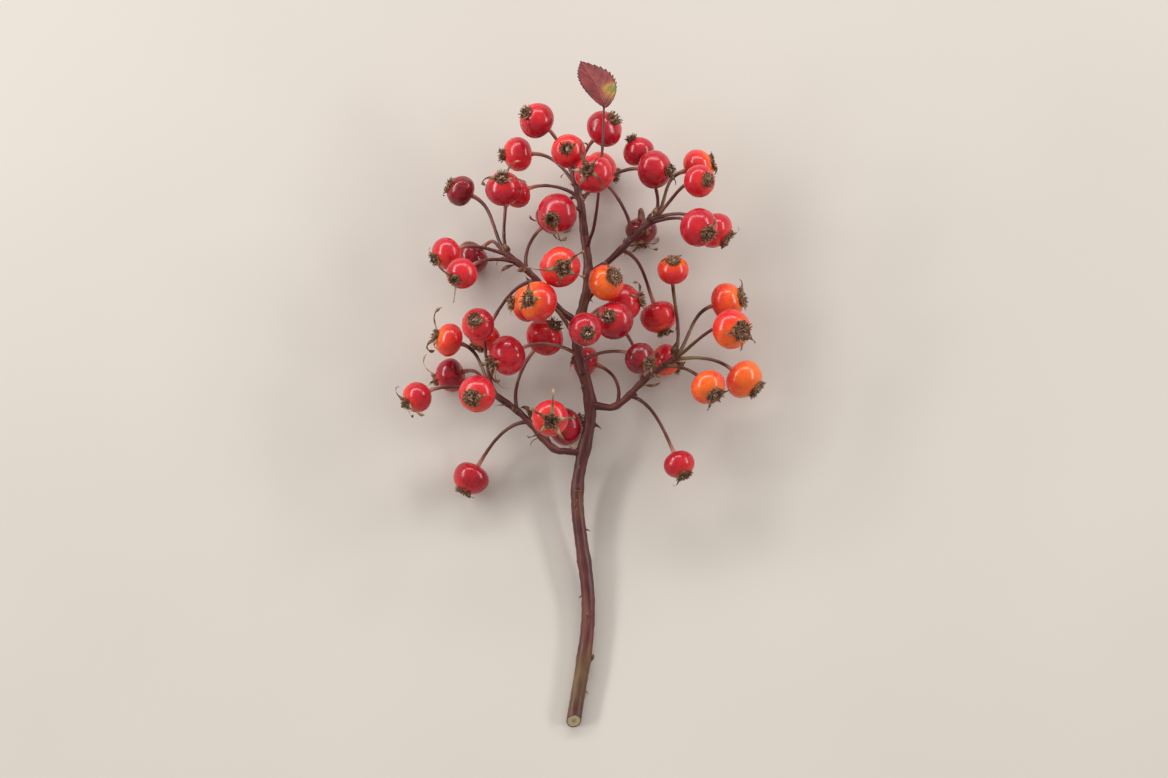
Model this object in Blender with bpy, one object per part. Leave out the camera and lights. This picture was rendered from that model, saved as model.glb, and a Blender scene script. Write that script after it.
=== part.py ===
"""A cut rose sprig with its ripe hips, lying on a flat surface as picked.

Metres, +Z up. The sprig lies along Y, with the cut end of the stem at low Y and the hips at high Y.
It rests on Z = 0, on the cut end and on the hips underneath. Its origin is the middle of its footprint.

The stem carries five side branches and a top truss, each with a fan of stalks and a hip on each stalk.
The fans are laid out by rule, and then the hips are pushed apart until all of them clear each other,
the stalks and the surface.
"""

import math
import random
from dataclasses import dataclass

import bmesh
import bpy
import numpy as np
from mathutils import Euler, Matrix, Quaternion, Vector

MM = 0.001
GAP = 0.3 * MM  # between two solids that meet on the real sprig
GOLDEN_ANGLE = math.pi * (3 - math.sqrt(5))

# Main stem, from the cut end to the base of the top truss. Routes are X, Y, Z in millimetres.
STEM_ROUTE = ((-4, 0, 3.3), (3, 52, 4.5), (-2, 104, 9), (4, 142, 15), (-2, 172, 21), (3, 200, 26), (1, 222, 29))
STEM_RADII = (3.3 * MM, 1.9 * MM)  # at the cut end and at the top
STEM_SIDES, STEM_RINGS = 10, 25
CUT_SLANT = math.radians(38)  # of the cut end, from square across the stem

BRANCH_RADII = (1.6 * MM, 1.2 * MM)  # where it leaves the stem, and at its tip
BRANCH_SIDES, BRANCH_RINGS = 8, 11
STALK_RADII = (0.95 * MM, 0.72 * MM, 1.05 * MM)  # at its base, along it and at the hip
STALK_SIDES, STALK_RINGS = 6, 8
STALK_FOLLOWS_BRANCH = 0.9  # how far a stalk sets off along its branch before it turns to its hip
STALKS_AT_TIP = 4  # the rest of a branch's stalks leave below its tip
FORK_SPACING = 0.13  # share of the branch between those
FAN_FLATNESS = 0.85  # of a fan's height as it lies, to its height as it grew
FAN_TURN_SPREAD = 0.35  # radians that a stalk strays from its even place round the fan
FAN_LENGTH_SPREAD = (0.82, 1.22)  # of a stalk's length, to the fan's reach

# A hip and its dry calyx, in shares of the hip's width.
HIP_WIDTHS = (13.5 * MM, 18 * MM)
HIP_HALF_HEIGHT = 0.42
HIP_SIDES = 10
HIP_RING_ANGLES = (-76, -42, -8, 26, 56)  # degrees from the hip's equator
CALYX_RINGS = ((0.15, 0.40), (0.20, 0.48), (0.14, 0.565))  # radius, and height above the equator
LEAN = (0, -0.6, 0.4)  # added to a hip's outward direction: its lean towards the cut end and the upper side
LOWEST_AXIS_Z = -0.3  # a hip tips down no further than this, so that its calyx clears the surface


@dataclass(frozen=True)
class Truss:
    """A branch and its fan of hips. leaves is the share of the stem's route where it starts, and route its
    further points. The fan opens about the branch's tip by spread degrees, its stalks are about reach long,
    and seed settles how they differ. Lengths are in millimetres."""

    name: str
    leaves: float
    route: tuple
    hips: int
    spread: float
    reach: float
    seed: int


TRUSSES = (
    Truss("lower_left_branch", 0.42, ((-12, 124, 16), (-26, 138, 22), (-38, 147, 24)), 9, 95, 34, 3),
    Truss("lower_right_branch", 0.52, ((15, 143, 19), (29, 155, 24), (41, 163, 26)), 9, 95, 34, 5),
    Truss("front_branch", 0.60, ((0, 158, 32), (-3, 170, 40)), 7, 90, 28, 11),
    Truss("upper_left_branch", 0.72, ((-10, 186, 28), (-22, 200, 34), (-33, 209, 35)), 8, 92, 33, 8),
    Truss("upper_right_branch", 0.85, ((12, 207, 32), (24, 218, 36), (33, 226, 36)), 8, 92, 33, 13),
    Truss("top_truss", 1.0, ((0, 232, 31), (-2, 241, 32)), 9, 92, 33, 21),
)

# The leaf: a stalk from the stem below the top truss, and one toothed leaflet folded a little along its midrib.
LEAF_LEAVES = 0.94  # share of the stem's route
LEAF_STALK_ROUTE = ((6, 224, 38), (9, 250, 54), (10, 274, 56))
LEAF_STALK_RADII = (0.75 * MM, 0.5 * MM)
LEAF_STALK_SIDES, LEAF_STALK_RINGS = 6, 9
LEAF_LENGTH, LEAF_WIDTH, LEAF_THICKNESS = 27 * MM, 16 * MM, 0.8 * MM
LEAF_TURN = (math.radians(-12), math.radians(18), math.radians(14))  # of the blade, which grows along +Y
LEAF_FOLD = math.radians(22)  # each half rises this much from the midrib
LEAF_TEETH = 7  # on each side
TOOTH_DEPTH = 0.1  # share of the half width
STALK_IN_BLADE = 2.5 * MM

# Material: base colour and roughness.
FINISHES = {
    "bark": ((0.13, 0.035, 0.03, 1), 0.6),
    "hip_skin": ((0.62, 0.012, 0.02, 1), 0.22),
    "dry_calyx": ((0.11, 0.075, 0.04, 1), 0.9),
    "leaf_blade": ((0.30, 0.04, 0.035, 1), 0.55),
}


def clear_scene():
    """Removes every object that the scene starts with."""
    for obj in list(bpy.data.objects):
        bpy.data.objects.remove(obj, do_unlink=True)


def material(name):
    """The Principled material of that name, made once."""
    found = bpy.data.materials.get(name)
    if found:
        return found
    colour, roughness = FINISHES[name]
    made = bpy.data.materials.new(name)
    made.use_nodes = True
    shader = made.node_tree.nodes["Principled BSDF"]
    shader.inputs["Base Color"].default_value = colour
    shader.inputs["Roughness"].default_value = roughness
    shader.inputs["Metallic"].default_value = 0.0
    return made


# Routes


def smooth_route(points, count):
    """count points, evenly spaced in parameter, on a Catmull-Rom curve through points in metres."""
    ends = [2 * points[0] - points[1], *points, 2 * points[-1] - points[-2]]
    route = []
    for k in range(count):
        place = (len(points) - 1) * k / (count - 1)
        i = min(int(place), len(points) - 2)
        t = place - i
        a, b, c, d = ends[i : i + 4]
        curve = 2 * b + (c - a) * t + (2 * a - 5 * b + 4 * c - d) * t**2 + (3 * b - a - 3 * c + d) * t**3
        route.append(curve / 2)
    return route


def metres(points):
    return [Vector(point) * MM for point in points]


def along(route, share):
    """(point, direction) at that share of the route, by parameter."""
    place = min(max(share, 0.0), 1.0) * (len(route) - 1)
    i = min(int(place), len(route) - 2)
    step = route[i + 1] - route[i]
    return route[i] + step * (place - i), step.normalized()


def tapered(first, last, count):
    return [first + (last - first) * k / (count - 1) for k in range(count)]


def stalk_route(fork, heading, hip_end, axis, count):
    """A stalk's centre line: off along its branch, round, and straight into the hip."""
    reach = hip_end - fork
    pull = reach.length / 3
    leaving = (heading * STALK_FOLLOWS_BRANCH + reach.normalized()).normalized()
    b = fork + leaving * pull
    c = hip_end - axis * pull
    route = []
    for k in range(count):
        t = k / (count - 1)
        s = 1 - t
        route.append(fork * s**3 + b * 3 * s * s * t + c * 3 * s * t * t + hip_end * t**3)
    return route


def stalk_radii(count):
    """The stalk's radius at each ring: a swollen foot, a slender middle and a thicker end at the hip."""
    foot, middle, end = STALK_RADII
    radii = []
    for k in range(count):
        t = k / (count - 1)
        radii.append(middle + (foot - middle) * (1 - t) ** 4 + (end - middle) * t**5)
    return radii


def fork_share(k):
    """Where along its branch the stalk of the branch's hip k leaves."""
    return 1.0 - FORK_SPACING * max(0, k - STALKS_AT_TIP + 1)


# Meshes


def finished(bm, name):
    mesh = bpy.data.meshes.new(name)
    bm.to_mesh(mesh)
    bm.free()
    mesh.shade_smooth()
    return mesh


def grow(bm, end, first):
    """Extrudes the end face in place. Returns the new end face, in a list, and its corners."""
    region = [*end, *end[0].edges]
    grown = bmesh.ops.extrude_face_region(bm, geom=region, use_keep_orig=first)["geom"]
    end = [g for g in grown if isinstance(g, bmesh.types.BMFace)]
    corners = [g for g in grown if isinstance(g, bmesh.types.BMVert)]
    return end, corners


def column(places, sides):
    """A closed solid through a unit circle of that many sides at each of the places, as a bmesh."""
    bm = bmesh.new()
    bmesh.ops.create_circle(bm, cap_ends=True, segments=sides, radius=1.0, matrix=places[0])
    end = bm.faces[:]
    for k in range(1, len(places)):
        end, corners = grow(bm, end, k == 1)
        bmesh.ops.transform(bm, matrix=places[k] @ places[k - 1].inverted(), verts=corners)
    bmesh.ops.recalc_face_normals(bm, faces=bm.faces[:])
    return bm


def tube_mesh(name, centres, radii, sides):
    """A closed tube whose rings stand square to the route through the centres, with no twist between them."""
    side = (centres[1] - centres[0]).orthogonal()
    places = []
    for k, centre in enumerate(centres):
        ahead = (centres[min(k + 1, len(centres) - 1)] - centres[max(k - 1, 0)]).normalized()
        side = (side - ahead * side.dot(ahead)).normalized()
        turn = Matrix((side, ahead.cross(side), ahead)).transposed().to_4x4()
        places.append(Matrix.Translation(centre) @ turn @ Matrix.Scale(radii[k], 4))
    return finished(column(places, sides), name)


def hip_mesh(name):
    """A hip one unit wide with its equator on Z = 0, its stalk end at -Z and its calyx at +Z. The calyx takes
    the second material."""
    end = math.sin(math.radians(-HIP_RING_ANGLES[0]))
    angles = [math.radians(a) for a in HIP_RING_ANGLES]
    rings = [(math.cos(a) / 2, HIP_HALF_HEIGHT * math.sin(a) / end) for a in angles]
    places = [Matrix.Translation((0, 0, z)) @ Matrix.Diagonal((r, r, 1, 1)) for r, z in (*rings, *CALYX_RINGS)]
    bm = column(places, HIP_SIDES)
    for face in bm.faces:
        face.material_index = int(face.calc_center_median().z > CALYX_RINGS[0][1])
    return finished(bm, name)


def leaf_blade_mesh(name):
    """A toothed leaflet from the origin along +Y, folded up along its midrib."""
    corners = 4 * LEAF_TEETH
    bm = bmesh.new()
    bmesh.ops.create_circle(bm, cap_ends=True, segments=corners, radius=1.0)
    for v in bm.verts:
        step = round(math.atan2(v.co.x, -v.co.y) / (2 * math.pi) * corners)  # from the base, either way round
        t = abs(step) / (corners / 2)
        half = LEAF_WIDTH / 2 * math.sin(math.pi * t**0.8) ** 0.75 if 0 < t < 1 else 0.0
        tooth = 1 - TOOTH_DEPTH * (step % 2)
        v.co = Vector((math.copysign(half * tooth, step), LEAF_LENGTH * t, 0))
    everything = [*bm.verts, *bm.edges, *bm.faces]
    bmesh.ops.bisect_plane(bm, geom=everything, dist=1e-7, plane_co=(0, 0, 0), plane_no=(1, 0, 0))
    grown = bmesh.ops.extrude_face_region(bm, geom=[*bm.faces, *bm.edges], use_keep_orig=True)["geom"]
    upper = [g for g in grown if isinstance(g, bmesh.types.BMVert)]
    bmesh.ops.translate(bm, verts=upper, vec=(0, 0, LEAF_THICKNESS))
    for v in bm.verts:
        v.co.z += abs(v.co.x) * math.tan(LEAF_FOLD)
    bmesh.ops.recalc_face_normals(bm, faces=bm.faces[:])
    return finished(bm, name)


# Layout of the hips


class Hip:
    """One hip: where its stalk leaves, its size, and its place, which settling changes."""

    def __init__(self, name, truss, fork, heading, wanted, width):
        self.name, self.truss, self.fork, self.heading = name, truss, fork, heading
        self.wanted, self.width = wanted, width
        self.centre = wanted.copy()
        self.rests = False

    @property
    def axis(self):
        """The way the hip points, from its stalk to its calyx."""
        axis = ((self.centre - self.fork).normalized() + Vector(LEAN)).normalized()
        axis.z = max(axis.z, LOWEST_AXIS_Z)
        return axis.normalized()

    def stalk(self, count):
        end = self.centre - self.axis * (HIP_HALF_HEIGHT * self.width + GAP)
        return stalk_route(self.fork, self.heading, end, self.axis, count)

    def matrix(self):
        turn = self.axis.to_track_quat("Z", "Y").to_matrix().to_4x4()
        return Matrix.Translation(self.centre) @ turn @ Matrix.Scale(self.width, 4)

    def least_height(self):
        """The lowest that its centre may be for the hip and its calyx to stay above the surface."""
        lean = self.axis.z
        level = math.sqrt(1 - lean**2)
        body = math.hypot(HIP_HALF_HEIGHT * lean, level / 2)
        calyx = max(radius * level - height * lean for radius, height in CALYX_RINGS)
        return max(body, calyx) * self.width

    def set_down(self, shape):
        """Moves the hip up or down until its lowest corner is on the surface. Its lean follows, so it takes a
        few steps."""
        for _ in range(6):
            matrix = self.matrix()
            self.centre.z -= min((matrix @ v.co).z for v in shape.vertices)


def fan(truss, route, first):
    """The truss's hips, numbered from first, where its fan would have them."""
    chance = random.Random(truss.seed)
    _, heading = along(route, 1.0)
    side = heading.orthogonal().normalized()
    hips = []
    for k in range(truss.hips):
        fork, leaving = along(route, fork_share(k))
        opening = math.radians(truss.spread) * math.sqrt((k + 0.5) / truss.hips)
        stray = chance.uniform(-FAN_TURN_SPREAD, FAN_TURN_SPREAD)
        way = Quaternion(heading, k * GOLDEN_ANGLE + stray) @ Quaternion(side, opening) @ heading
        way.z *= FAN_FLATNESS
        length = truss.reach * MM * chance.uniform(*FAN_LENGTH_SPREAD)
        width = chance.uniform(*HIP_WIDTHS)
        hips.append(Hip(f"hip_{first + k:02d}", truss.name, fork, leaving, fork + way * length, width))
    return hips


def beads(route, radii, count, owner, start=0.0):
    """Balls along a route from that share of it, each (point, radius, owner), for the hips to keep clear of."""
    shares = tapered(start, 1.0, count)
    return [(along(route, share)[0], radius, owner) for share, radius in zip(shares, tapered(*radii, count))]


class Settling:
    """Pushes the hips apart. Everything is stood for by balls: each ball follows its hip by its weight, so a
    stalk's balls give way near the hip and hold still near the branch."""

    ROUNDS = 300
    STALK_BALLS = 14
    CLEARANCE = 0.5 * MM
    PUSH = 0.5  # share of an overlap that one round takes away
    PULL_BACK = 0.03  # towards the place wanted, until the hips are settled
    SETTLED_BY = 0.6  # share of the rounds
    TOUCHES_BELOW = 7 * MM  # a hip this near the surface rests on it
    OFF_SURFACE = 1.0 * MM  # of the other hips, at least
    FREE_OF_OWN_TRUSS = 0.45  # stalks of one branch may touch up to this share of their length

    def __init__(self, hips, fixed):
        self.hips = hips
        self.fixed = fixed
        names = sorted({hip.truss for hip in hips})
        self.trusses = {name: k for k, name in enumerate(names)}

    def balls(self):
        """Rows of centre, radius, owner (-1 for none), weight, truss, and share along the stalk (2 for a hip)."""
        calyx_radius, calyx_height = CALYX_RINGS[1]
        rows = []
        for i, hip in enumerate(self.hips):
            group = self.trusses[hip.truss]
            rows.append((*hip.centre, hip.width / 2, i, 1.0, group, 2.0))
            tip = hip.centre + hip.axis * (calyx_height * hip.width)
            rows.append((*tip, calyx_radius * hip.width, i, 1.0, group, 2.0))
            for k, point in enumerate(hip.stalk(self.STALK_BALLS)[:-1]):
                t = k / (self.STALK_BALLS - 1)
                rows.append((*point, STALK_RADII[0], i, t * t, group, t))
        for point, radius, owner in self.fixed:
            rows.append((*point, radius, -1, 0.0, self.trusses.get(owner, -1), 0.0))
        return np.array(rows)

    def push(self):
        """One round. Returns the deepest overlap that it found, in metres."""
        table = self.balls()
        place, (radius, owner, weight, group, t) = table[:, :3], table[:, 3:].T
        first, second = np.triu_indices(len(table), 1)
        apart = place[first] - place[second]
        distance = np.linalg.norm(apart, axis=1)
        depth = radius[first] + radius[second] + self.CLEARANCE - distance
        loose = (weight[first] + weight[second] > 0) & (owner[first] != owner[second])
        kin = (group[first] == group[second]) & (t[first] <= 1) & (t[second] <= 1)
        young = (t[first] < self.FREE_OF_OWN_TRUSS) | (t[second] < self.FREE_OF_OWN_TRUSS)
        hits = np.flatnonzero((depth > 0) & loose & ~(kin & young))
        moves = np.zeros((len(self.hips), 3))
        for k in hits:
            way = apart[k] / max(distance[k], 1e-9) * depth[k] * self.PUSH
            total = weight[first[k]] + weight[second[k]]
            for ball, sign in ((first[k], 1), (second[k], -1)):
                if weight[ball] > 0:
                    moves[int(owner[ball])] += sign * way * weight[ball] / total
        for hip, move in zip(self.hips, moves):
            hip.centre = hip.centre + Vector(move)
        return float(depth[hits].max()) if len(hits) else 0.0

    def keep_above_surface(self, choosing):
        for hip in self.hips:
            least = hip.least_height()
            if choosing:
                hip.rests = hip.centre.z < least + self.TOUCHES_BELOW
            hip.centre.z = least if hip.rests else max(hip.centre.z, least + self.OFF_SURFACE)

    def run(self):
        deepest = 0.0
        for k in range(self.ROUNDS):
            early = k < self.ROUNDS * self.SETTLED_BY
            if early:
                for hip in self.hips:
                    hip.centre = hip.centre.lerp(hip.wanted, self.PULL_BACK)
            deepest = self.push()
            self.keep_above_surface(early)
        return deepest


# Objects


def add(name, mesh, finishes, matrix=Matrix.Identity(4)):
    """A visible object, which is one sub-part."""
    obj = bpy.data.objects.new(name, mesh)
    bpy.context.scene.collection.objects.link(obj)
    for finish in finishes:
        mesh.materials.append(material(finish))
    obj.matrix_world = matrix
    return obj


def helper(name, mesh):
    """An object that only a Boolean uses."""
    obj = bpy.data.objects.new(name, mesh)
    bpy.context.scene.collection.objects.link(obj)
    obj.hide_render = True
    obj.display_type = "WIRE"
    return obj


def boolean(obj, other, operation):
    modifier = obj.modifiers.new(other.name, "BOOLEAN")
    modifier.operation = operation
    modifier.solver = "EXACT"
    modifier.object = other


def build_stem(route):
    """The stem. Its cut end slants: the lower lip stays where it is and the upper lip is drawn back."""
    stem = add("stem", tube_mesh("stem", route, tapered(*STEM_RADII, len(route)), STEM_SIDES), ["bark"])
    foot = route[0]
    for v in stem.data.vertices[:STEM_SIDES]:
        v.co.y += (v.co.z - foot.z + STEM_RADII[0]) * math.tan(CUT_SLANT)
    return stem


def build_stem_cutter(route):
    """The stem's shape with a gap all round it, which the branches and the leaf's stalk are cut back to."""
    radii = [radius + GAP for radius in tapered(*STEM_RADII, len(route))]
    past_end = route[-1] + (route[-1] - route[-2]).normalized() * GAP
    return helper("stem_cutter", tube_mesh("stem_cutter", [*route[:-1], past_end], radii, STEM_SIDES))


def build_branch(truss, route, hips, stem_cutter):
    """A branch with its stalks, one solid."""
    radii = tapered(*BRANCH_RADII, len(route))
    branch = add(truss.name, tube_mesh(truss.name, route, radii, BRANCH_SIDES), ["bark"])
    for hip in hips:
        name = hip.name + "_stalk"
        stalk = tube_mesh(name, hip.stalk(STALK_RINGS), stalk_radii(STALK_RINGS), STALK_SIDES)
        boolean(branch, helper(name, stalk), "UNION")
    boolean(branch, stem_cutter, "DIFFERENCE")
    return branch


def blade_matrix(route):
    """Where the leaflet goes: its base a little inside the end of the leaf's stalk."""
    turn = Euler(LEAF_TURN).to_matrix().to_4x4()
    base = route[-1] - turn @ Vector((0, STALK_IN_BLADE, 0)) - Vector((0, 0, LEAF_THICKNESS / 2))
    return Matrix.Translation(base) @ turn


def build_leaf(route, stem_cutter):
    """The leaflet and its stalk, one solid."""
    leaf = add("leaf", leaf_blade_mesh("leaf"), ["leaf_blade"], blade_matrix(route))
    radii = tapered(*LEAF_STALK_RADII, len(route))
    boolean(leaf, helper("leaf_stalk", tube_mesh("leaf_stalk", route, radii, LEAF_STALK_SIDES)), "UNION")
    boolean(leaf, stem_cutter, "DIFFERENCE")
    return leaf


def centre_on_footprint(parts):
    """Parents everything to an empty and moves that, so that the origin is the middle of the footprint."""
    bpy.context.view_layer.update()
    drawn = bpy.context.evaluated_depsgraph_get()
    shown = [obj.evaluated_get(drawn) for obj in parts]
    corners = [obj.matrix_world @ Vector(corner) for obj in shown for corner in obj.bound_box]
    sprig = bpy.data.objects.new("sprig", None)
    bpy.context.scene.collection.objects.link(sprig)
    for obj in bpy.data.objects:
        if obj is not sprig:
            obj.parent = sprig
    for i in range(2):
        sprig.location[i] = -(min(c[i] for c in corners) + max(c[i] for c in corners)) / 2


def settle(hips, stem_route, branch_routes, leaf_route):
    """Clears the hips from each other and from everything else, and sets down those that rest."""
    fixed = beads(stem_route, STEM_RADII, 70, "stem")
    for name, route in branch_routes.items():
        fixed += beads(route, BRANCH_RADII, 25, name)
    fixed += beads(leaf_route, LEAF_STALK_RADII, 17, "leaf", start=0.2)
    midrib = [blade_matrix(leaf_route) @ Vector((0, LEAF_LENGTH * share, 0)) for share in (0.2, 0.8)]
    fixed += beads(midrib, (LEAF_WIDTH * 0.45, LEAF_WIDTH * 0.35), 4, "leaf")
    left = Settling(hips, fixed).run()
    print(f"deepest overlap left {left / MM:.2f} mm, {sum(hip.rests for hip in hips)} hips rest")


def main():
    clear_scene()
    stem_route = smooth_route(metres(STEM_ROUTE), STEM_RINGS)
    leaf_start, _ = along(stem_route, LEAF_LEAVES)
    leaf_route = smooth_route([leaf_start, *metres(LEAF_STALK_ROUTE)], LEAF_STALK_RINGS)
    branch_routes, hips = {}, []
    for truss in TRUSSES:
        start, _ = along(stem_route, truss.leaves)
        branch_routes[truss.name] = smooth_route([start, *metres(truss.route)], BRANCH_RINGS)
        hips += fan(truss, branch_routes[truss.name], len(hips) + 1)
    settle(hips, stem_route, branch_routes, leaf_route)
    hip_shape = hip_mesh("hip")
    for hip in hips:
        if hip.rests:
            hip.set_down(hip_shape)

    stem_cutter = build_stem_cutter(stem_route)
    parts = [build_stem(stem_route), build_leaf(leaf_route, stem_cutter)]
    for truss in TRUSSES:
        own = [hip for hip in hips if hip.truss == truss.name]
        parts.append(build_branch(truss, branch_routes[truss.name], own, stem_cutter))
    for hip in hips:
        parts.append(add(hip.name, hip_shape.copy(), ["hip_skin", "dry_calyx"], hip.matrix()))
    centre_on_footprint(parts)


main()
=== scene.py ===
"""A cut rose sprig with its ripe hips, lying on a pale surface as picked.

The frame gives the places: where each hip sits, how wide it is and which way it points, and how far the
stem's own routes are shifted. Everything seen is modelled here: bark with its collars, buds and prickles,
hips with their dimples and dry calyxes, shrivelled bracts, and the one red leaf. Metres, +Z up.
"""

import logging
import math
import random
from collections.abc import Sequence
from dataclasses import dataclass, field
from enum import Enum

import bmesh
import bpy
from mathutils import Euler, Matrix, Quaternion, Vector, noise


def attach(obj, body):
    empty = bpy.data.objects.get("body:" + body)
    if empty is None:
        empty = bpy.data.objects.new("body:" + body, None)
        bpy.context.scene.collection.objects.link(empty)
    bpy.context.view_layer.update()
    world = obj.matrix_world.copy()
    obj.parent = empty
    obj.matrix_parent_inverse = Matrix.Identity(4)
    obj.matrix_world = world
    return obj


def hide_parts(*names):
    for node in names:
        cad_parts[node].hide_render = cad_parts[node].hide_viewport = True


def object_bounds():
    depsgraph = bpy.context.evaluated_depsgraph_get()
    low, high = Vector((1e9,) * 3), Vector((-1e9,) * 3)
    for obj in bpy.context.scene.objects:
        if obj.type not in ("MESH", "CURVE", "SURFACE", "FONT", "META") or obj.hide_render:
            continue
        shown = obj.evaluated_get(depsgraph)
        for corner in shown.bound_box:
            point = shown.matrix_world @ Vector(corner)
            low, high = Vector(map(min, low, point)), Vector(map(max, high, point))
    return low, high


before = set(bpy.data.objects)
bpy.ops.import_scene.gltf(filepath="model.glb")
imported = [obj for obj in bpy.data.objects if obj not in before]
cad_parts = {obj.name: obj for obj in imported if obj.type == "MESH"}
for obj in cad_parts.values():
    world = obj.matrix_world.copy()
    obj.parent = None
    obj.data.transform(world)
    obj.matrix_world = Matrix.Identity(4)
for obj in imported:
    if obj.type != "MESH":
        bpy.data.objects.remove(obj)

CAD_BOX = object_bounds()
MM = 0.001
SKIM = 0.25 * MM
UP = Vector((0, 0, 1))
GOLDEN_ANGLE = math.pi * (3 - math.sqrt(5))
LOG = logging.getLogger("rose_hip_sprig")

Range = tuple[float, float]
Route = list[Vector]
Colour = tuple[float, float, float, float]
Stops = Sequence[tuple[float, Colour]]
Face = bmesh.types.BMFace
Edge = bmesh.types.BMEdge
Corner = bmesh.types.BMVert
Socket = bpy.types.NodeSocket
Material = bpy.types.Material
Piece = bpy.types.Object


# Routes


def metres(points: Sequence[tuple[float, float, float]], shift: Vector) -> Route:
    """Turns given millimetres into shifted metres.

    Args:
        points: X, Y and Z of each point, in millimetres.
        shift: What to add to each, in metres.

    Returns:
        The points as vectors.
    """
    return [Vector(point) * MM + shift for point in points]


def smooth_route(points: Route, count: int) -> Route:
    """Reads points off a Catmull-Rom curve.

    Args:
        points: The points that the curve passes through.
        count: How many points to read, evenly spaced in parameter.

    Returns:
        The points read.
    """
    ends = [2 * points[0] - points[1], *points, 2 * points[-1] - points[-2]]
    route = []
    for k in range(count):
        place = (len(points) - 1) * k / (count - 1)
        i = min(int(place), len(points) - 2)
        t = place - i
        a, b, c, d = ends[i : i + 4]
        curve = 2 * b + (c - a) * t + (2 * a - 5 * b + 4 * c - d) * t**2 + (3 * b - a - 3 * c + d) * t**3
        route.append(curve / 2)
    return route


def along(route: Route, share: float) -> tuple[Vector, Vector]:
    """Finds a place on a route.

    Args:
        route: The route.
        share: How far along it, from 0 to 1, by parameter.

    Returns:
        The point there and the unit direction of travel.
    """
    place = min(max(share, 0.0), 1.0) * (len(route) - 1)
    i = min(int(place), len(route) - 2)
    step = route[i + 1] - route[i]
    return route[i] + step * (place - i), step.normalized()


def lengths(route: Route) -> list[float]:
    """Measures a route.

    Args:
        route: The route.

    Returns:
        The distance travelled at each of its points, from 0.
    """
    walked = [0.0]
    for before, after in zip(route, route[1:]):
        walked.append(walked[-1] + (after - before).length)
    return walked


def curling_route(
    start: Vector, heading: Vector, side: Vector, length: float, turn: float, count: int
) -> Route:
    """Walks a path whose turning tightens towards its end, as a drying strip curls.

    Args:
        start: The first point.
        heading: The unit direction that it sets off in.
        side: The axis that it turns about.
        length: The path's length.
        turn: How far it has turned by its end, in radians.
        count: How many points it has.

    Returns:
        The points of the path.
    """
    route = [start.copy()]
    way = heading.normalized()
    weight = sum(range(count - 1))
    for k in range(count - 1):
        way = Quaternion(side, turn * k / weight) @ way
        route.append(route[-1] + way * (length / (count - 1)))
    return route


def above_floor(point: Vector, clearance: float) -> Vector:
    """Lifts a point to at least that height, as a dry strip lies on what it meets."""
    return Vector((point.x, point.y, max(point.z, clearance)))


def level_way(angle: float) -> Vector:
    """The level direction at that angle, in radians."""
    return Vector((math.cos(angle), math.sin(angle), 0))


def bump(x: float, centre: float, width: float) -> float:
    """A smooth bump, 1 at its centre and near 0 two widths away."""
    return math.exp(-(((x - centre) / width) ** 2))


# Building meshes


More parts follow.
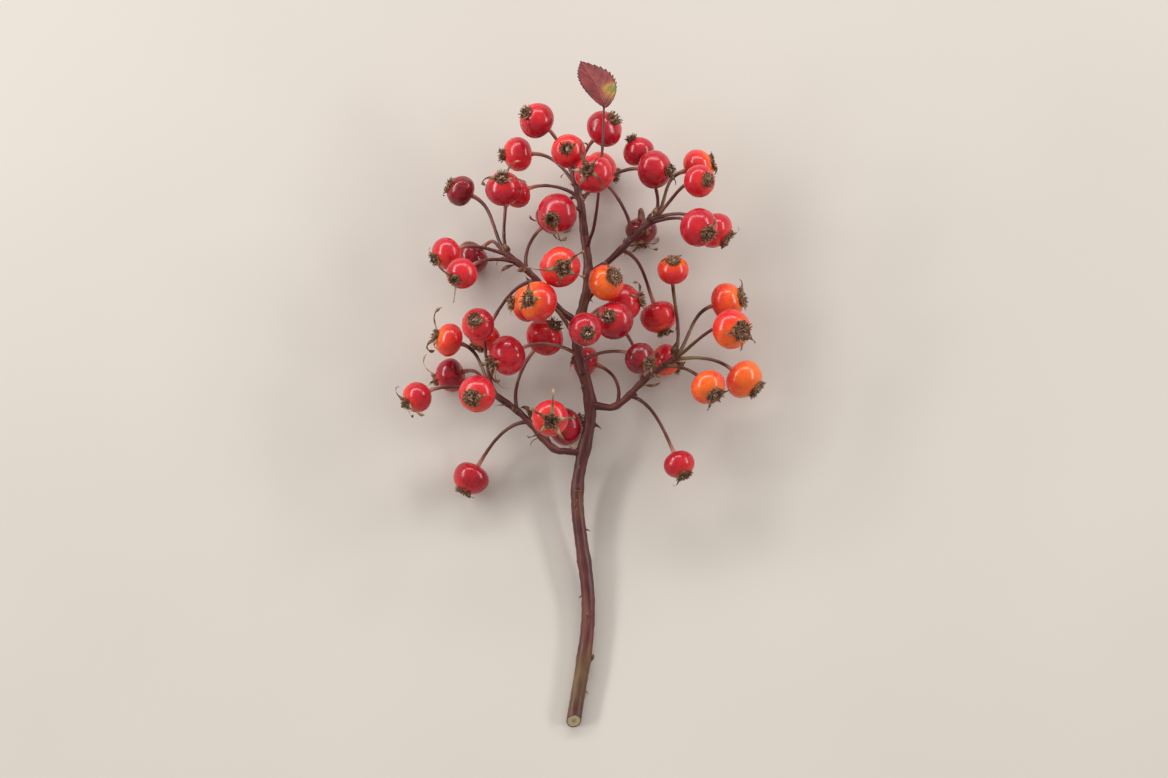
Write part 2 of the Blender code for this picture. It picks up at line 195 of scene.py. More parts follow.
class Shaper:
    """A mesh in the making, with the values that its finish reads at each corner.

    grain is where a corner would be if its own stem or hip stood alone and straight. tone is a number whose
    meaning belongs to the finish.
    """

    DEEPEST_PIT = 0.6
    TUBE_LUMPS = 450
    TUBE_STRAY = 7.0
    BALL_LUMPS = 1.9
    BALL_STRAY = 900

    def __init__(self) -> None:
        """Starts an empty mesh."""
        self.bm = bmesh.new()
        self.grain = self.bm.verts.layers.float_vector.new("grain")
        self.tone = self.bm.verts.layers.float.new("tone")

    def grow(self, end: Face, first: bool) -> tuple[Face, list[Corner]]:
        """Extrudes the end face of a tube in place.

        Args:
            end: The face.
            first: Whether the face is also the tube's other end, and so has to stay.

        Returns:
            The new end face and its corners.
        """
        made = bmesh.ops.extrude_face_region(self.bm, geom=[end, *end.edges], use_keep_orig=first)["geom"]
        face = next(part for part in made if isinstance(part, Face))
        return face, [part for part in made if isinstance(part, Corner)]

    def tube(
        self,
        route: Route,
        radii: Sequence[float],
        sides: int,
        tones: Sequence[float],
        flatness: float = 1.0,
        rough: float = 0.0,
        across: Vector | None = None,
        twist: float = 0.0,
    ) -> None:
        """Extrudes a closed tube ring by ring along a route.

        Args:
            route: The centre of each ring.
            radii: The radius of each ring.
            sides: How many corners a ring has.
            tones: The tone of each ring.
            flatness: The second radius of a ring over its first: under 1 makes a ribbon.
            rough: How far the surface strays in and out.
            across: The direction that a ribbon's broad side should follow.
            twist: How far the tube has twisted by its end, in radians.
        """
        places = self.ring_places(route, radii, flatness, across, twist)
        walked = lengths(route)
        first = bmesh.ops.create_circle(self.bm, cap_ends=True, segments=sides, radius=1.0, matrix=places[0])
        rings = [first["verts"]]
        end = rings[0][0].link_faces[0]
        for k in range(1, len(places)):
            end, corners = self.grow(end, k == 1)
            bmesh.ops.transform(self.bm, matrix=places[k] @ places[k - 1].inverted(), verts=corners)
            rings.append(corners)
        offset = route[-1] * self.TUBE_STRAY
        for k, corners in enumerate(rings):
            flat = places[k].inverted()
            for v in corners:
                local = flat @ v.co
                v[self.grain] = Vector((local.x * radii[k], local.y * radii[k], walked[k])) + offset
                v[self.tone] = tones[k]
                reach = v.co - route[k]
                if rough and reach.length > 0:
                    stray = rough * noise.noise(v[self.grain] * self.TUBE_LUMPS) / reach.length
                    v.co += reach * max(stray, -self.DEEPEST_PIT)

    @staticmethod
    def ring_places(
        route: Route, radii: Sequence[float], flatness: float, across: Vector | None, twist: float
    ) -> list[Matrix]:
        """Sets a circle square to a route at each of its points.

        Args:
            route: The centre of each ring.
            radii: The radius of each ring.
            flatness: The second radius of a ring over its first.
            across: The direction that the first radius should follow, or None for any.
            twist: How far the rings have turned about the route by its end, in radians.

        Returns:
            The matrix that takes a unit circle to each ring.
        """
        side = across.copy() if across is not None else (route[1] - route[0]).orthogonal()
        places = []
        for k, centre in enumerate(route):
            ahead = (route[min(k + 1, len(route) - 1)] - route[max(k - 1, 0)]).normalized()
            side = Quaternion(ahead, twist / (len(route) - 1)) @ (side - ahead * side.dot(ahead)).normalized()
            turn = Matrix((side, ahead.cross(side), ahead)).transposed().to_4x4()
            size = Matrix.Diagonal((radii[k], radii[k] * flatness, radii[k], 1))
            places.append(Matrix.Translation(centre) @ turn @ size)
        return places

    def ball(self, place: Matrix, tone: float, rough: float, subdivisions: int = 1) -> None:
        """Adds a small lumpy ball.

        Args:
            place: Takes a unit ball to its place and shape.
            tone: Its tone.
            rough: How far its corners stray, as a share of its radius.
            subdivisions: How fine it is.
        """
        made = bmesh.ops.create_icosphere(self.bm, subdivisions=subdivisions, radius=1.0)["verts"]
        offset = place.to_translation() * self.BALL_STRAY
        for v in made:
            v.co *= 1 + rough * noise.noise(v.co * self.BALL_LUMPS + offset)
            v[self.tone] = tone
        bmesh.ops.transform(self.bm, matrix=place, verts=made)
        for v in made:
            v[self.grain] = v.co

    def spike(self, foot: Vector, way: Vector, length: float, radii: Range, tone: float) -> None:
        """Adds a straight tapered spike of four sides, such as a dry filament.

        Args:
            foot: The middle of its foot.
            way: The unit direction that it points in.
            length: Its length.
            radii: Its radius at the foot and at the tip.
            tone: Its tone.
        """
        turn = way.to_track_quat("Z", "Y").to_matrix().to_4x4()
        place = Matrix.Translation(foot + way * (length / 2)) @ turn
        made = bmesh.ops.create_cone(
            self.bm, cap_ends=True, segments=4, radius1=radii[0], radius2=radii[1], depth=length, matrix=place
        )["verts"]
        for v in made:
            v[self.grain] = v.co
            v[self.tone] = tone

    def absorb(self, other: "Shaper") -> None:
        """Takes in another mesh in the making.

        Args:
            other: That mesh, which is freed.
        """
        mesh = bpy.data.meshes.new("part")
        other.bm.to_mesh(mesh)
        other.bm.free()
        self.bm.from_mesh(mesh)
        bpy.data.meshes.remove(mesh)

    def finish(self, name: str, materials: Sequence[Material]) -> Piece:
        """Makes the mesh an object at the origin. What would dip under the floor is eased flat on it.

        Args:
            name: The piece's name.
            materials: Its materials, in the order of its faces' material numbers.

        Returns:
            The new object.
        """
        for v in self.bm.verts:
            if v.co.z < SKIM:
                v.co.z = SKIM * math.exp((v.co.z - SKIM) / SKIM)
        bmesh.ops.recalc_face_normals(self.bm, faces=self.bm.faces[:])
        mesh = bpy.data.meshes.new(name)
        self.bm.to_mesh(mesh)
        self.bm.free()
        mesh.shade_smooth()
        for material in materials:
            mesh.materials.append(material)
        obj = bpy.data.objects.new(name, mesh)
        bpy.context.scene.collection.objects.link(obj)
        return obj


# Finishes


class NodeSheet:
    """The nodes of one material, with short ways to add and wire them."""

    def __init__(self, name: str) -> None:
        """Starts a material with a Principled shader.

        Args:
            name: The material's name.
        """
        self.material = bpy.data.materials.new(name)
        self.material.use_nodes = True
        self.tree = self.material.node_tree
        self.shader = self.tree.nodes["Principled BSDF"]

    def add(self, kind: str, inputs: dict | None = None, **settings: object) -> bpy.types.Node:
        """Adds a node.

        Args:
            kind: The node's type, without its ShaderNode prefix.
            inputs: Input names or numbers, each with a value or with the socket that feeds it.
            settings: The node's own settings.

        Returns:
            The node.
        """
        node = self.tree.nodes.new("ShaderNode" + kind)
        for key, value in settings.items():
            setattr(node, key, value)
        for key, value in (inputs or {}).items():
            self.feed(node.inputs[key], value)
        return node

    def feed(self, socket: Socket, value: object) -> None:
        """Wires a socket, or sets its value.

        Args:
            socket: The socket.
            value: The socket that feeds it, or a plain value.
        """
        if isinstance(value, Socket):
            self.tree.links.new(value, socket)
        else:
            socket.default_value = value

    def grain(self) -> Socket:
        """Reads where a corner would be if its own stem or hip stood alone."""
        return self.add("Attribute", attribute_name="grain").outputs["Vector"]

    def tone(self) -> Socket:
        """Reads the tone stored at the mesh's corners."""
        return self.add("Attribute", attribute_name="tone").outputs["Fac"]

    def place(self) -> Socket:
        """Reads the place on the object."""
        return self.add("TexCoord").outputs["Object"]

    def stretched(self, vector: Socket, scale: tuple[float, float, float]) -> Socket:
        """Scales a vector by axis."""
        node = self.add("Mapping", {"Vector": vector, "Scale": scale})
        return node.outputs["Vector"]

    def cloud(self, vector: Socket, scale: float, detail: float = 3.0) -> Socket:
        """Noise from 0 to 1."""
        return self.add("TexNoise", {"Vector": vector, "Scale": scale, "Detail": detail}).outputs["Fac"]

    def span(self, value: Socket, low: float, high: float, to: Range = (0, 1)) -> Socket:
        """Maps one range of a value onto another, smoothly and clamped.

        Args:
            value: The value.
            low: Where the range starts. It may be above its end.
            high: Where the range ends.
            to: What its start and its end become.

        Returns:
            The new value's socket.
        """
        inputs = {"Value": value, "From Min": low, "From Max": high, "To Min": to[0], "To Max": to[1]}
        return self.add("MapRange", inputs, interpolation_type="SMOOTHSTEP").outputs["Result"]

    def maths(self, operation: str, a: object, b: object) -> Socket:
        """Works out one sum, product or the like of two numbers, each plain or from a socket."""
        return self.add("Math", {0: a, 1: b}, operation=operation).outputs[0]

    def plus(self, a: Socket, b: Socket) -> Socket:
        """Adds two numbers."""
        return self.maths("ADD", a, b)

    def times(self, value: Socket, share: float) -> Socket:
        """Multiplies a number."""
        return self.maths("MULTIPLY", value, share)

    def sway(self, value: Socket, width: float) -> Socket:
        """Turns noise from 0 to 1 into a sway about 0 of that whole width."""
        return self.times(self.maths("SUBTRACT", value, 0.5), width)

    def ramp(self, value: Socket, stops: Stops) -> Socket:
        """Turns a number into a colour.

        Args:
            value: The number, from 0 to 1.
            stops: Each stop's place and colour.

        Returns:
            The colour's socket.
        """
        node = self.add("ValToRGB", {"Fac": value})
        elements = node.color_ramp.elements
        while len(elements) < len(stops):
            elements.new(1.0)
        for element, (place, colour) in zip(elements, stops):
            element.position = place
            element.color = colour
        return node.outputs["Color"]

    def blend(self, factor: object, a: object, b: object) -> Socket:
        """Mixes two colours.

        Args:
            factor: The second colour's share.
            a: The first colour.
            b: The second colour.

        Returns:
            The mixed colour's socket.
        """
        node = self.add("Mix", data_type="RGBA")
        for socket, value in zip((node.inputs[0], node.inputs[6], node.inputs[7]), (factor, a, b)):
            self.feed(socket, value)
        return node.outputs[2]

    def spots(self, vector: Socket, scale: float, radius: float, rarity: float) -> Socket:
        """Scatters round spots.

        Args:
            vector: Where the pattern is read.
            scale: How many cells there are to a unit.
            radius: A spot's radius, as a share of a cell.
            rarity: The share of cells with no spot.

        Returns:
            A socket that is 1 inside a spot and 0 outside.
        """
        cells = self.add("TexVoronoi", {"Vector": vector, "Scale": scale})
        inside = self.span(cells.outputs["Distance"], radius, radius * 0.45)
        draw = self.add("SeparateColor", {0: cells.outputs["Color"]}).outputs[0]
        chosen = self.span(draw, rarity, rarity + 0.03)
        return self.maths("MULTIPLY", inside, chosen)

    def dress(
        self, colour: Socket, roughness: object, height: object, depth: float, **constants: object
    ) -> Material:
        """Feeds the shader.

        Args:
            colour: The base colour.
            roughness: The roughness, a number or a socket.
            height: The socket that gives the surface's relief, or None.
            depth: How deep that relief is, in metres.
            constants: Values for other inputs, with underscores for spaces.

        Returns:
            The material.
        """
        self.feed(self.shader.inputs["Base Color"], colour)
        self.feed(self.shader.inputs["Roughness"], roughness)
        if height is not None:
            relief = self.add("Bump", {"Height": height, "Distance": depth, "Strength": 1.0})
            self.feed(self.shader.inputs["Normal"], relief.outputs["Normal"])
        for key, value in constants.items():
            self.shader.inputs[key.replace("_", " ")].default_value = value
        return self.material


@dataclass(frozen=True)
class HipSkin:
    """Waxy red skin. tone is 0 on an overripe maroon hip, about 0.3 on a crimson and 1 on an orange one. It
    also holds painted light: one side of each hip is drawn more orange, as if lit.
    """

    maroon: Colour = (0.16, 0.005, 0.010, 1)
    crimson: Colour = (0.45, 0.006, 0.020, 1)
    red: Colour = (0.66, 0.014, 0.025, 1)
    vermilion: Colour = (0.84, 0.048, 0.016, 1)
    orange: Colour = (0.92, 0.148, 0.014, 1)
    speck: Colour = (0.030, 0.010, 0.007, 1)
    pale_dot: Colour = (0.85, 0.24, 0.13, 1)
    mottle_scale: float = 2.2
    mottling: Range = (-0.08, 0.08)
    meridian_stretch: tuple[float, float, float] = (9, 9, 1.2)
    meridian_scale: float = 1.6
    meridians: Range = (-0.06, 0.06)
    dot_scale: float = 17
    haze_scale: float = 3.5
    haze: Range = (0.21, 0.30)
    relief_scale: float = 5.0
    relief: float = 0.12 * MM

    def material(self) -> Material:
        """Makes the material.

        Returns:
            The material.
        """
        sheet = NodeSheet("hip_skin")
        grain = sheet.grain()
        tone = sheet.tone()
        mottling = sheet.span(sheet.cloud(grain, self.mottle_scale), 0.3, 0.7, self.mottling)
        lines = sheet.cloud(sheet.stretched(grain, self.meridian_stretch), self.meridian_scale)
        meridians = sheet.span(lines, 0.3, 0.7, self.meridians)
        # tone holds ripeness plus a painted lit side, so one side of a hip comes out more orange, as if lit.
        ripeness = sheet.plus(tone, sheet.plus(mottling, meridians))
        stops = (
            (0.0, self.maroon),
            (0.22, self.crimson),
            (0.48, self.red),
            (0.80, self.vermilion),
            (1.0, self.orange),
        )
        colour = sheet.ramp(ripeness, stops)
        dots = sheet.spots(grain, self.dot_scale, 0.16, 0.55)
        colour = sheet.blend(sheet.times(dots, 0.22), colour, self.pale_dot)
        specks = sheet.maths("MAXIMUM", sheet.spots(grain, 7, 0.13, 0.8), sheet.spots(grain, 13, 0.13, 0.86))
        colour = sheet.blend(sheet.times(specks, 0.85), colour, self.speck)
        haze = sheet.span(sheet.cloud(grain, self.haze_scale), 0.3, 0.75, self.haze)
        roughness = sheet.maths("MAXIMUM", haze, sheet.times(specks, 0.7))
        relief = sheet.plus(sheet.cloud(grain, self.relief_scale, 1.0), sheet.times(specks, -0.25))
        return sheet.dress(
            colour,
            roughness,
            relief,
            self.relief,
            Subsurface_Weight=0.12,
            Subsurface_Radius=(1.0, 0.18, 0.1),
            Subsurface_Scale=1.8 * MM,
            Specular_IOR_Level=0.45,
            Coat_Weight=0.2,
            Coat_Roughness=0.18,
        )


@dataclass(frozen=True)
class Bark:
    """Young rose bark. tone is 0 where it is maroon, 1 where it is olive green and -1 where it is rosy."""

    shade: Colour = (0.030, 0.010, 0.010, 1)
    maroon: Colour = (0.105, 0.020, 0.018, 1)
    russet: Colour = (0.22, 0.062, 0.034, 1)
    olive: Colour = (0.17, 0.145, 0.035, 1)
    rosy: Colour = (0.46, 0.190, 0.130, 1)
    lenticel: Colour = (0.33, 0.20, 0.12, 1)
    streak_scale: float = 900
    patch_scale: float = 130
    dot_scale: float = 520
    gloss: Range = (0.36, 0.55)
    relief: float = 0.12 * MM

    def material(self) -> Material:
        """Makes the material.

        Returns:
            The material.
        """
        sheet = NodeSheet("bark")
        grain = sheet.grain()
        tone = sheet.tone()
        streaks = sheet.cloud(sheet.stretched(grain, (1, 1, 0.09)), self.streak_scale, 4.0)
        patches = sheet.cloud(sheet.stretched(grain, (1, 1, 0.35)), self.patch_scale)
        mixed = sheet.plus(sheet.times(streaks, 0.55), sheet.times(patches, 0.45))
        bark = sheet.ramp(mixed, ((0.30, self.shade), (0.50, self.maroon), (0.72, self.russet)))
        green = sheet.span(sheet.plus(tone, sheet.times(patches, 0.5)), 0.45, 1.05)
        colour = sheet.blend(green, bark, self.olive)
        colour = sheet.blend(sheet.span(tone, 0.0, -1.0), colour, self.rosy)
        dots = sheet.spots(sheet.stretched(grain, (1, 1, 0.5)), self.dot_scale, 0.2, 0.72)
        colour = sheet.blend(sheet.times(dots, 0.55), colour, self.lenticel)
        roughness = sheet.span(patches, 0.3, 0.7, self.gloss)
        relief = sheet.plus(streaks, sheet.times(dots, 0.8))
        return sheet.dress(colour, roughness, relief, self.relief, Specular_IOR_Level=0.45)


@dataclass(frozen=True)
class CutWood:
    """The slanted cut across the stem. tone is 0 under the bark and 1 in the pith."""

    cambium: Colour = (0.30, 0.27, 0.11, 1)
    wood: Colour = (0.62, 0.50, 0.31, 1)
    pith: Colour = (0.42, 0.29, 0.17, 1)
    fibre_scale: float = 2600
    relief: float = 0.2 * MM

    def material(self) -> Material:
        """Makes the material.

        Returns:
            The material.
        """
        sheet = NodeSheet("cut_wood")
        tone = sheet.tone()
        place = sheet.place()
        fibres = sheet.cloud(sheet.stretched(place, (1, 0.3, 1)), self.fibre_scale, 4.0)
        ringed = sheet.plus(tone, sheet.sway(fibres, 0.25))
        stops = ((0.0, self.cambium), (0.22, self.wood), (0.7, self.wood), (0.9, self.pith))
        return sheet.dress(sheet.ramp(ringed, stops), 0.8, fibres, self.relief, Specular_IOR_Level=0.3)


@dataclass(frozen=True)
class DryTissue:
    """Withered stamens, styles, sepals and bracts. tone runs from near black to straw."""

    charred: Colour = (0.024, 0.012, 0.008, 1)
    umber: Colour = (0.125, 0.050, 0.030, 1)
    olive_brown: Colour = (0.27, 0.145, 0.080, 1)
    straw: Colour = (0.64, 0.47, 0.30, 1)
    fleck_scale: float = 1500
    relief: float = 0.8 * MM

    def material(self) -> Material:
        """Makes the material.

        Returns:
            The material.
        """
        sheet = NodeSheet("dry_tissue")
        tone = sheet.tone()
        place = sheet.place()
        fleck = sheet.cloud(place, self.fleck_scale, 6.0)
        mixed = sheet.plus(tone, sheet.sway(fleck, 0.55))
        stops = ((0.0, self.charred), (0.3, self.umber), (0.6, self.olive_brown), (1.0, self.straw))
        return sheet.dress(sheet.ramp(mixed, stops), 0.85, fleck, self.relief, Specular_IOR_Level=0.25)


@dataclass(frozen=True)
class LeafBlade:
    """An autumn leaf. tone is 1 on a vein.

    grain's X and Y are the place on the flat blade, in blade lengths. Its Z is 0 on the midrib and 1 at the
    edge.
    """

    burgundy: Colour = (0.125, 0.014, 0.016, 1)
    crimson: Colour = (0.30, 0.035, 0.038, 1)
    ochre: Colour = (0.42, 0.22, 0.045, 1)
    moss: Colour = (0.20, 0.18, 0.035, 1)
    vein: Colour = (0.42, 0.15, 0.10, 1)
    edge: Colour = (0.05, 0.016, 0.012, 1)
    blotch: tuple[float, float] = (0.19, 0.27)
    cloud_scale: float = 5.0
    mottle_scale: float = 16
    pore_scale: float = 40
    relief: float = 0.2 * MM

    def material(self) -> Material:
        """Makes the material.

        Returns:
            The material.
        """
        sheet = NodeSheet("leaf_blade")
        grain = sheet.grain()
        flat = sheet.stretched(grain, (1, 1, 0))
        tone = sheet.tone()
        clouds = sheet.cloud(flat, self.cloud_scale, 4.0)
        colour = sheet.ramp(clouds, ((0.32, self.burgundy), (0.68, self.crimson)))
        centre = (*self.blotch, 0.0)
        away = sheet.add("VectorMath", {0: flat, 1: centre}, operation="DISTANCE").outputs["Value"]
        ragged = sheet.plus(away, sheet.sway(clouds, 0.35))
        colour = sheet.blend(sheet.span(ragged, 0.24, 0.05), colour, self.ochre)
        colour = sheet.blend(sheet.span(ragged, 0.10, 0.0), colour, self.moss)
        mottles = sheet.spots(flat, self.mottle_scale, 0.3, 0.6)
        colour = sheet.blend(sheet.times(mottles, 0.3), colour, self.ochre)
        colour = sheet.blend(sheet.times(sheet.span(tone, 0.3, 0.9), 0.6), colour, self.vein)
        rim = sheet.add("SeparateXYZ", {0: grain}).outputs["Z"]
        colour = sheet.blend(sheet.span(rim, 0.86, 1.0, (0, 0.8)), colour, self.edge)
        relief = sheet.maths("SUBTRACT", sheet.cloud(flat, self.pore_scale), sheet.times(tone, 0.6))
        return sheet.dress(colour, 0.5, relief, self.relief, Specular_IOR_Level=0.4)


@dataclass(frozen=True)
class PaleFloor:
    """A plain warm-grey surface."""

    light: Colour = (0.66, 0.61, 0.55, 1)
    dark: Colour = (0.62, 0.57, 0.51, 1)
    cloud_scale: float = 3.0

    def material(self) -> Material:
        """Makes the material.

        Returns:
            The material.
        """
        sheet = NodeSheet("pale_floor")
        place = sheet.place()
        colour = sheet.ramp(sheet.cloud(place, self.cloud_scale), ((0.3, self.dark), (0.7, self.light)))
        return sheet.dress(colour, 0.75, None, 0.0, Specular_IOR_Level=0.3)


# The sprig's layout, which repeats the routes of its solids


@dataclass(frozen=True)
class Truss:
    """A branch and its fan of hips.

    leaves is the share of the stem's route where it starts, and route its further points in millimetres.
    orange is how likely a hip on it is to be still orange.
    """

    name: str
    leaves: float
    route: tuple[tuple[float, float, float], ...]
    hips: int
    orange: float
    stalks_at_tip: int = 4
    fork_spacing: float = 0.13

    def fork_share(self, k: int) -> float:
        """Tells where along the branch the stalk of its hip k leaves."""
        return 1.0 - self.fork_spacing * max(0, k - self.stalks_at_tip + 1)


TRUSSES = (
    Truss("lower_left_branch", 0.42, ((-12, 124, 16), (-26, 138, 22), (-38, 147, 24)), 9, 0.1),
    Truss("lower_right_branch", 0.52, ((15, 143, 19), (29, 155, 24), (41, 163, 26)), 9, 0.65),
    Truss("front_branch", 0.60, ((0, 158, 32), (-3, 170, 40)), 7, 0.25),
    Truss("upper_left_branch", 0.72, ((-10, 186, 28), (-22, 200, 34), (-33, 209, 35)), 8, 0.05),
    Truss("upper_right_branch", 0.85, ((12, 207, 32), (24, 218, 36), (33, 226, 36)), 8, 0.2),
    Truss("top_truss", 1.0, ((0, 232, 31), (-2, 241, 32)), 9, 0.1),
)


@dataclass(frozen=True)
class HipPlace:
    """Where one hip sits, read from its solid: its centre, its outward direction and its width."""

    node: str
    centre: Vector
    axis: Vector
    width: float

    CORNERS_IN_A_RING = 10
    HALF_HEIGHT = 0.42
    FULL_HEIGHT = 0.985

    @classmethod
    def read(cls, node: str) -> "HipPlace":
        """Reads a hip's place.

        The corners furthest from the middle of them all are the ring round its stalk's end.

        Args:
            node: The hip's node.

        Returns:
            Its place.
        """
        corners = unique_corners(node)
        middle = sum(corners, Vector()) / len(corners)
        ring = sorted(corners, key=lambda corner: -(corner - middle).length)[: cls.CORNERS_IN_A_RING]
        foot = sum(ring, Vector()) / len(ring)
        axis = (middle - foot).normalized()
        heights = [(corner - foot).dot(axis) for corner in corners]
        width = max(heights) / cls.FULL_HEIGHT
        return cls(node, foot + axis * (cls.HALF_HEIGHT * width), axis, width)

    def matrix(self) -> Matrix:
        """Takes a hip one unit wide, with its calyx up, to its place."""
        turn = self.axis.to_track_quat("Z", "Y").to_matrix().to_4x4()
        return Matrix.Translation(self.centre) @ turn @ Matrix.Scale(self.width, 4)


def unique_corners(node: str) -> list[Vector]:
    """Lists the corners of a node's solid, each once."""
    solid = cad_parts[node].data
    return list({tuple(round(c, 6) for c in v.co): v.co.copy() for v in solid.vertices}.values())


# Pieces


@dataclass
class Stem:
    """The woody stem: its bark, the collars at its forks, buds, prickles and the slanted cut.

    ROUTE and prickle_lengths are in millimetres. Places along the stem are shares of its route, and a
    prickle's radii are shares of its length.
    """

    ROUTE = (
        (-4, 0, 3.3),
        (3, 52, 4.5),
        (-2, 104, 9),
        (4, 142, 15),
        (-2, 172, 21),
        (3, 200, 26),
        (1, 222, 29),
    )
    foot_radius: float = 3.3 * MM
    tip_radius: float = 1.9 * MM
    cut_slant: float = math.radians(38)
    sides: int = 24
    small_sides: int = 8
    rings: int = 170
    corners_at_tip: int = 10
    collar: float = 0.55 * MM
    fork_swelling: float = 0.018
    bud_swelling: float = 0.6
    bud_swelling_width: float = 0.012
    olive_at_foot: float = 0.30
    olive_patches: float = 0.35
    cut_margin: float = 0.6 * MM
    cut_tolerance: float = 0.01 * MM
    cut_rings: tuple[Range, ...] = ((0.9, 0.0), (0.87, 0.05), (0.7, 0.35), (0.5, 0.6), (0.28, 0.85))
    roughness: float = 0.28 * MM
    bare_buds: tuple[float, ...] = (0.10, 0.235, 0.345)
    bud_length: float = 2.6 * MM
    bud_lean: float = 0.45
    bud_curve: float = 0.5 * MM
    bud_steps: tuple[float, ...] = (-0.3, 0.0, 0.25, 0.5, 0.75, 0.92, 1)
    bud_radii: tuple[float, ...] = (0.7 * MM, 0.95 * MM, 1.05 * MM, 0.9 * MM, 0.6 * MM, 0.3 * MM, 0.06 * MM)
    bud_sides: int = 10
    bud_flatness: float = 0.75
    scar_drop: float = 0.9 * MM
    scar_radius: float = 0.42 * MM
    scar_taper: float = 0.02 * MM
    scar_step: float = 0.16
    scar_steps: range = range(-4, 5)
    scar_flatness: float = 0.7
    seed: int = 4
    prickles: tuple[float, ...] = (0.055, 0.16, 0.19, 0.28, 0.315, 0.385, 0.47, 0.56, 0.66, 0.78)
    prickle_turn: float = 1.7 * GOLDEN_ANGLE
    first_prickle: float = 0.6
    prickle_lengths: Range = (2.2, 3.6)
    prickle_sink: float = 0.25 * MM
    prickle_hook: float = 0.45
    prickle_flatness: float = 0.5
    prickle_steps: tuple[float, ...] = (0.0, 0.15, 0.35, 0.6, 0.82, 1.0)
    prickle_radii: tuple[float, ...] = (0.42, 0.27, 0.16, 0.10, 0.055, 0.01)
    prickle_tones: tuple[float, ...] = (0.2, 0.15, 0.0, 0.0, 0.0, 0.0)
    shift: Vector = field(init=False)
    route: Route = field(init=False)

    def __post_init__(self) -> None:
        """Reads where the solid stem ends, which tells how far the routes are shifted."""
        tip = sorted(unique_corners("stem"), key=lambda corner: -corner.y)[: self.corners_at_tip]
        self.shift = sum(tip, Vector()) / len(tip) - Vector(self.ROUTE[-1]) * MM
        self.route = smooth_route(metres(self.ROUTE, self.shift), self.rings)

    def radius(self, share: float) -> float:
        """Gives the plain taper's radius at that share of the route."""
        return self.foot_radius + (self.tip_radius - self.foot_radius) * share

    def build(self, bark: Material, wood: Material) -> Piece:
        """Builds the stem.

        Args:
            bark: The bark's material.
            wood: The material of the cut end.

        Returns:
            The piece.
        """
        shaper = Shaper()
        shares = [k / (self.rings - 1) for k in range(self.rings)]
        forks = [truss.leaves for truss in TRUSSES if truss.leaves < 1]
        radii, tones = [], []
        for share in shares:
            swelling = sum(bump(share, fork, self.fork_swelling) for fork in forks)
            buds = sum(bump(share, bud, self.bud_swelling_width) for bud in self.bare_buds)
            radii.append(self.radius(share) + self.collar * (swelling + self.bud_swelling * buds))
            patches = self.olive_patches * noise.noise(Vector((share * 7, 0.3, 0)))
            tones.append(self.olive_at_foot * (1 - share) + patches)
        shaper.tube(self.route, radii, self.sides, tones, rough=self.roughness)
        self.slant_cut(shaper)
        for k, share in enumerate(self.bare_buds):
            self.bud(shaper, share, k * GOLDEN_ANGLE)
        chance = random.Random(self.seed)
        for k, share in enumerate(self.prickles):
            length = chance.uniform(*self.prickle_lengths) * MM
            self.prickle(shaper, share, k * self.prickle_turn + self.first_prickle, length)
        return shaper.finish("stem_bark", [bark, wood])

    def slant_cut(self, shaper: Shaper) -> None:
        """Cuts the foot off at a slant, and lays bare its wood and pith.

        Args:
            shaper: The mesh, which holds nothing but the stem's tube so far.
        """
        foot = self.route[0] + Vector((0, self.cut_margin, -self.foot_radius))
        square = Vector((0, math.cos(self.cut_slant), -math.sin(self.cut_slant)))
        parts = [*shaper.bm.verts, *shaper.bm.edges, *shaper.bm.faces]
        cut = bmesh.ops.bisect_plane(
            shaper.bm, geom=parts, dist=self.cut_tolerance, plane_co=foot, plane_no=square, clear_inner=True
        )["geom_cut"]
        loop = [part for part in cut if isinstance(part, Edge)]
        for edge in loop:
            edge.smooth = False
        end = bmesh.ops.edgeloop_fill(shaper.bm, edges=loop)["faces"][0]
        centre = end.calc_center_median()
        about = Matrix.Translation(-centre)
        outer = 1.0
        for width, tone in self.cut_rings:
            end, corners = shaper.grow(end, False)
            bmesh.ops.scale(shaper.bm, vec=Vector.Fill(3, width / outer), space=about, verts=corners)
            for v in corners:
                v[shaper.tone] = tone
            for face in {face for v in corners for face in v.link_faces}:
                face.material_index = int(outer < 1)
            outer = width
        for v in bmesh.ops.poke(shaper.bm, faces=[end])["verts"]:
            v[shaper.tone] = 1.0

    def outward(self, share: float, angle: float) -> tuple[Vector, Vector, Vector]:
        """Finds a place on the bark.

        Args:
            share: How far up the route it is, from 0 to 1.
            angle: How far round the stem it is, in radians.

        Returns:
            The point on the axis, the outward direction and the direction of growth.
        """
        point, ahead = along(self.route, share)
        side = ahead.cross(UP).normalized()
        return point, Quaternion(ahead, angle) @ side, ahead

    def bud(self, shaper: Shaper, share: float, angle: float) -> None:
        """Adds a resting bud, pressed to the bark above a narrow leaf scar.

        Args:
            shaper: The mesh.
            share: How far up the route it sits, from 0 to 1.
            angle: How far round the stem it sits, in radians.
        """
        point, out, ahead = self.outward(share, angle)
        way = (ahead + out * self.bud_lean).normalized()
        foot = point + out * (self.radius(share) + self.collar * 0.5)
        route = [foot + way * (self.bud_length * t) - out * (self.bud_curve * t * t) for t in self.bud_steps]
        tones = [0.0] * len(route)
        shaper.tube(
            route, self.bud_radii, self.bud_sides, tones, flatness=self.bud_flatness, across=ahead.cross(out)
        )
        below = point - ahead * self.scar_drop
        reach = self.radius(share) + self.collar * 0.6
        scar = [below + Quaternion(ahead, step * self.scar_step) @ out * reach for step in self.scar_steps]
        radii = [self.scar_radius - self.scar_taper * step * step for step in self.scar_steps]
        shaper.tube(scar, radii, self.small_sides, [0.9] * len(scar), flatness=self.scar_flatness, across=out)

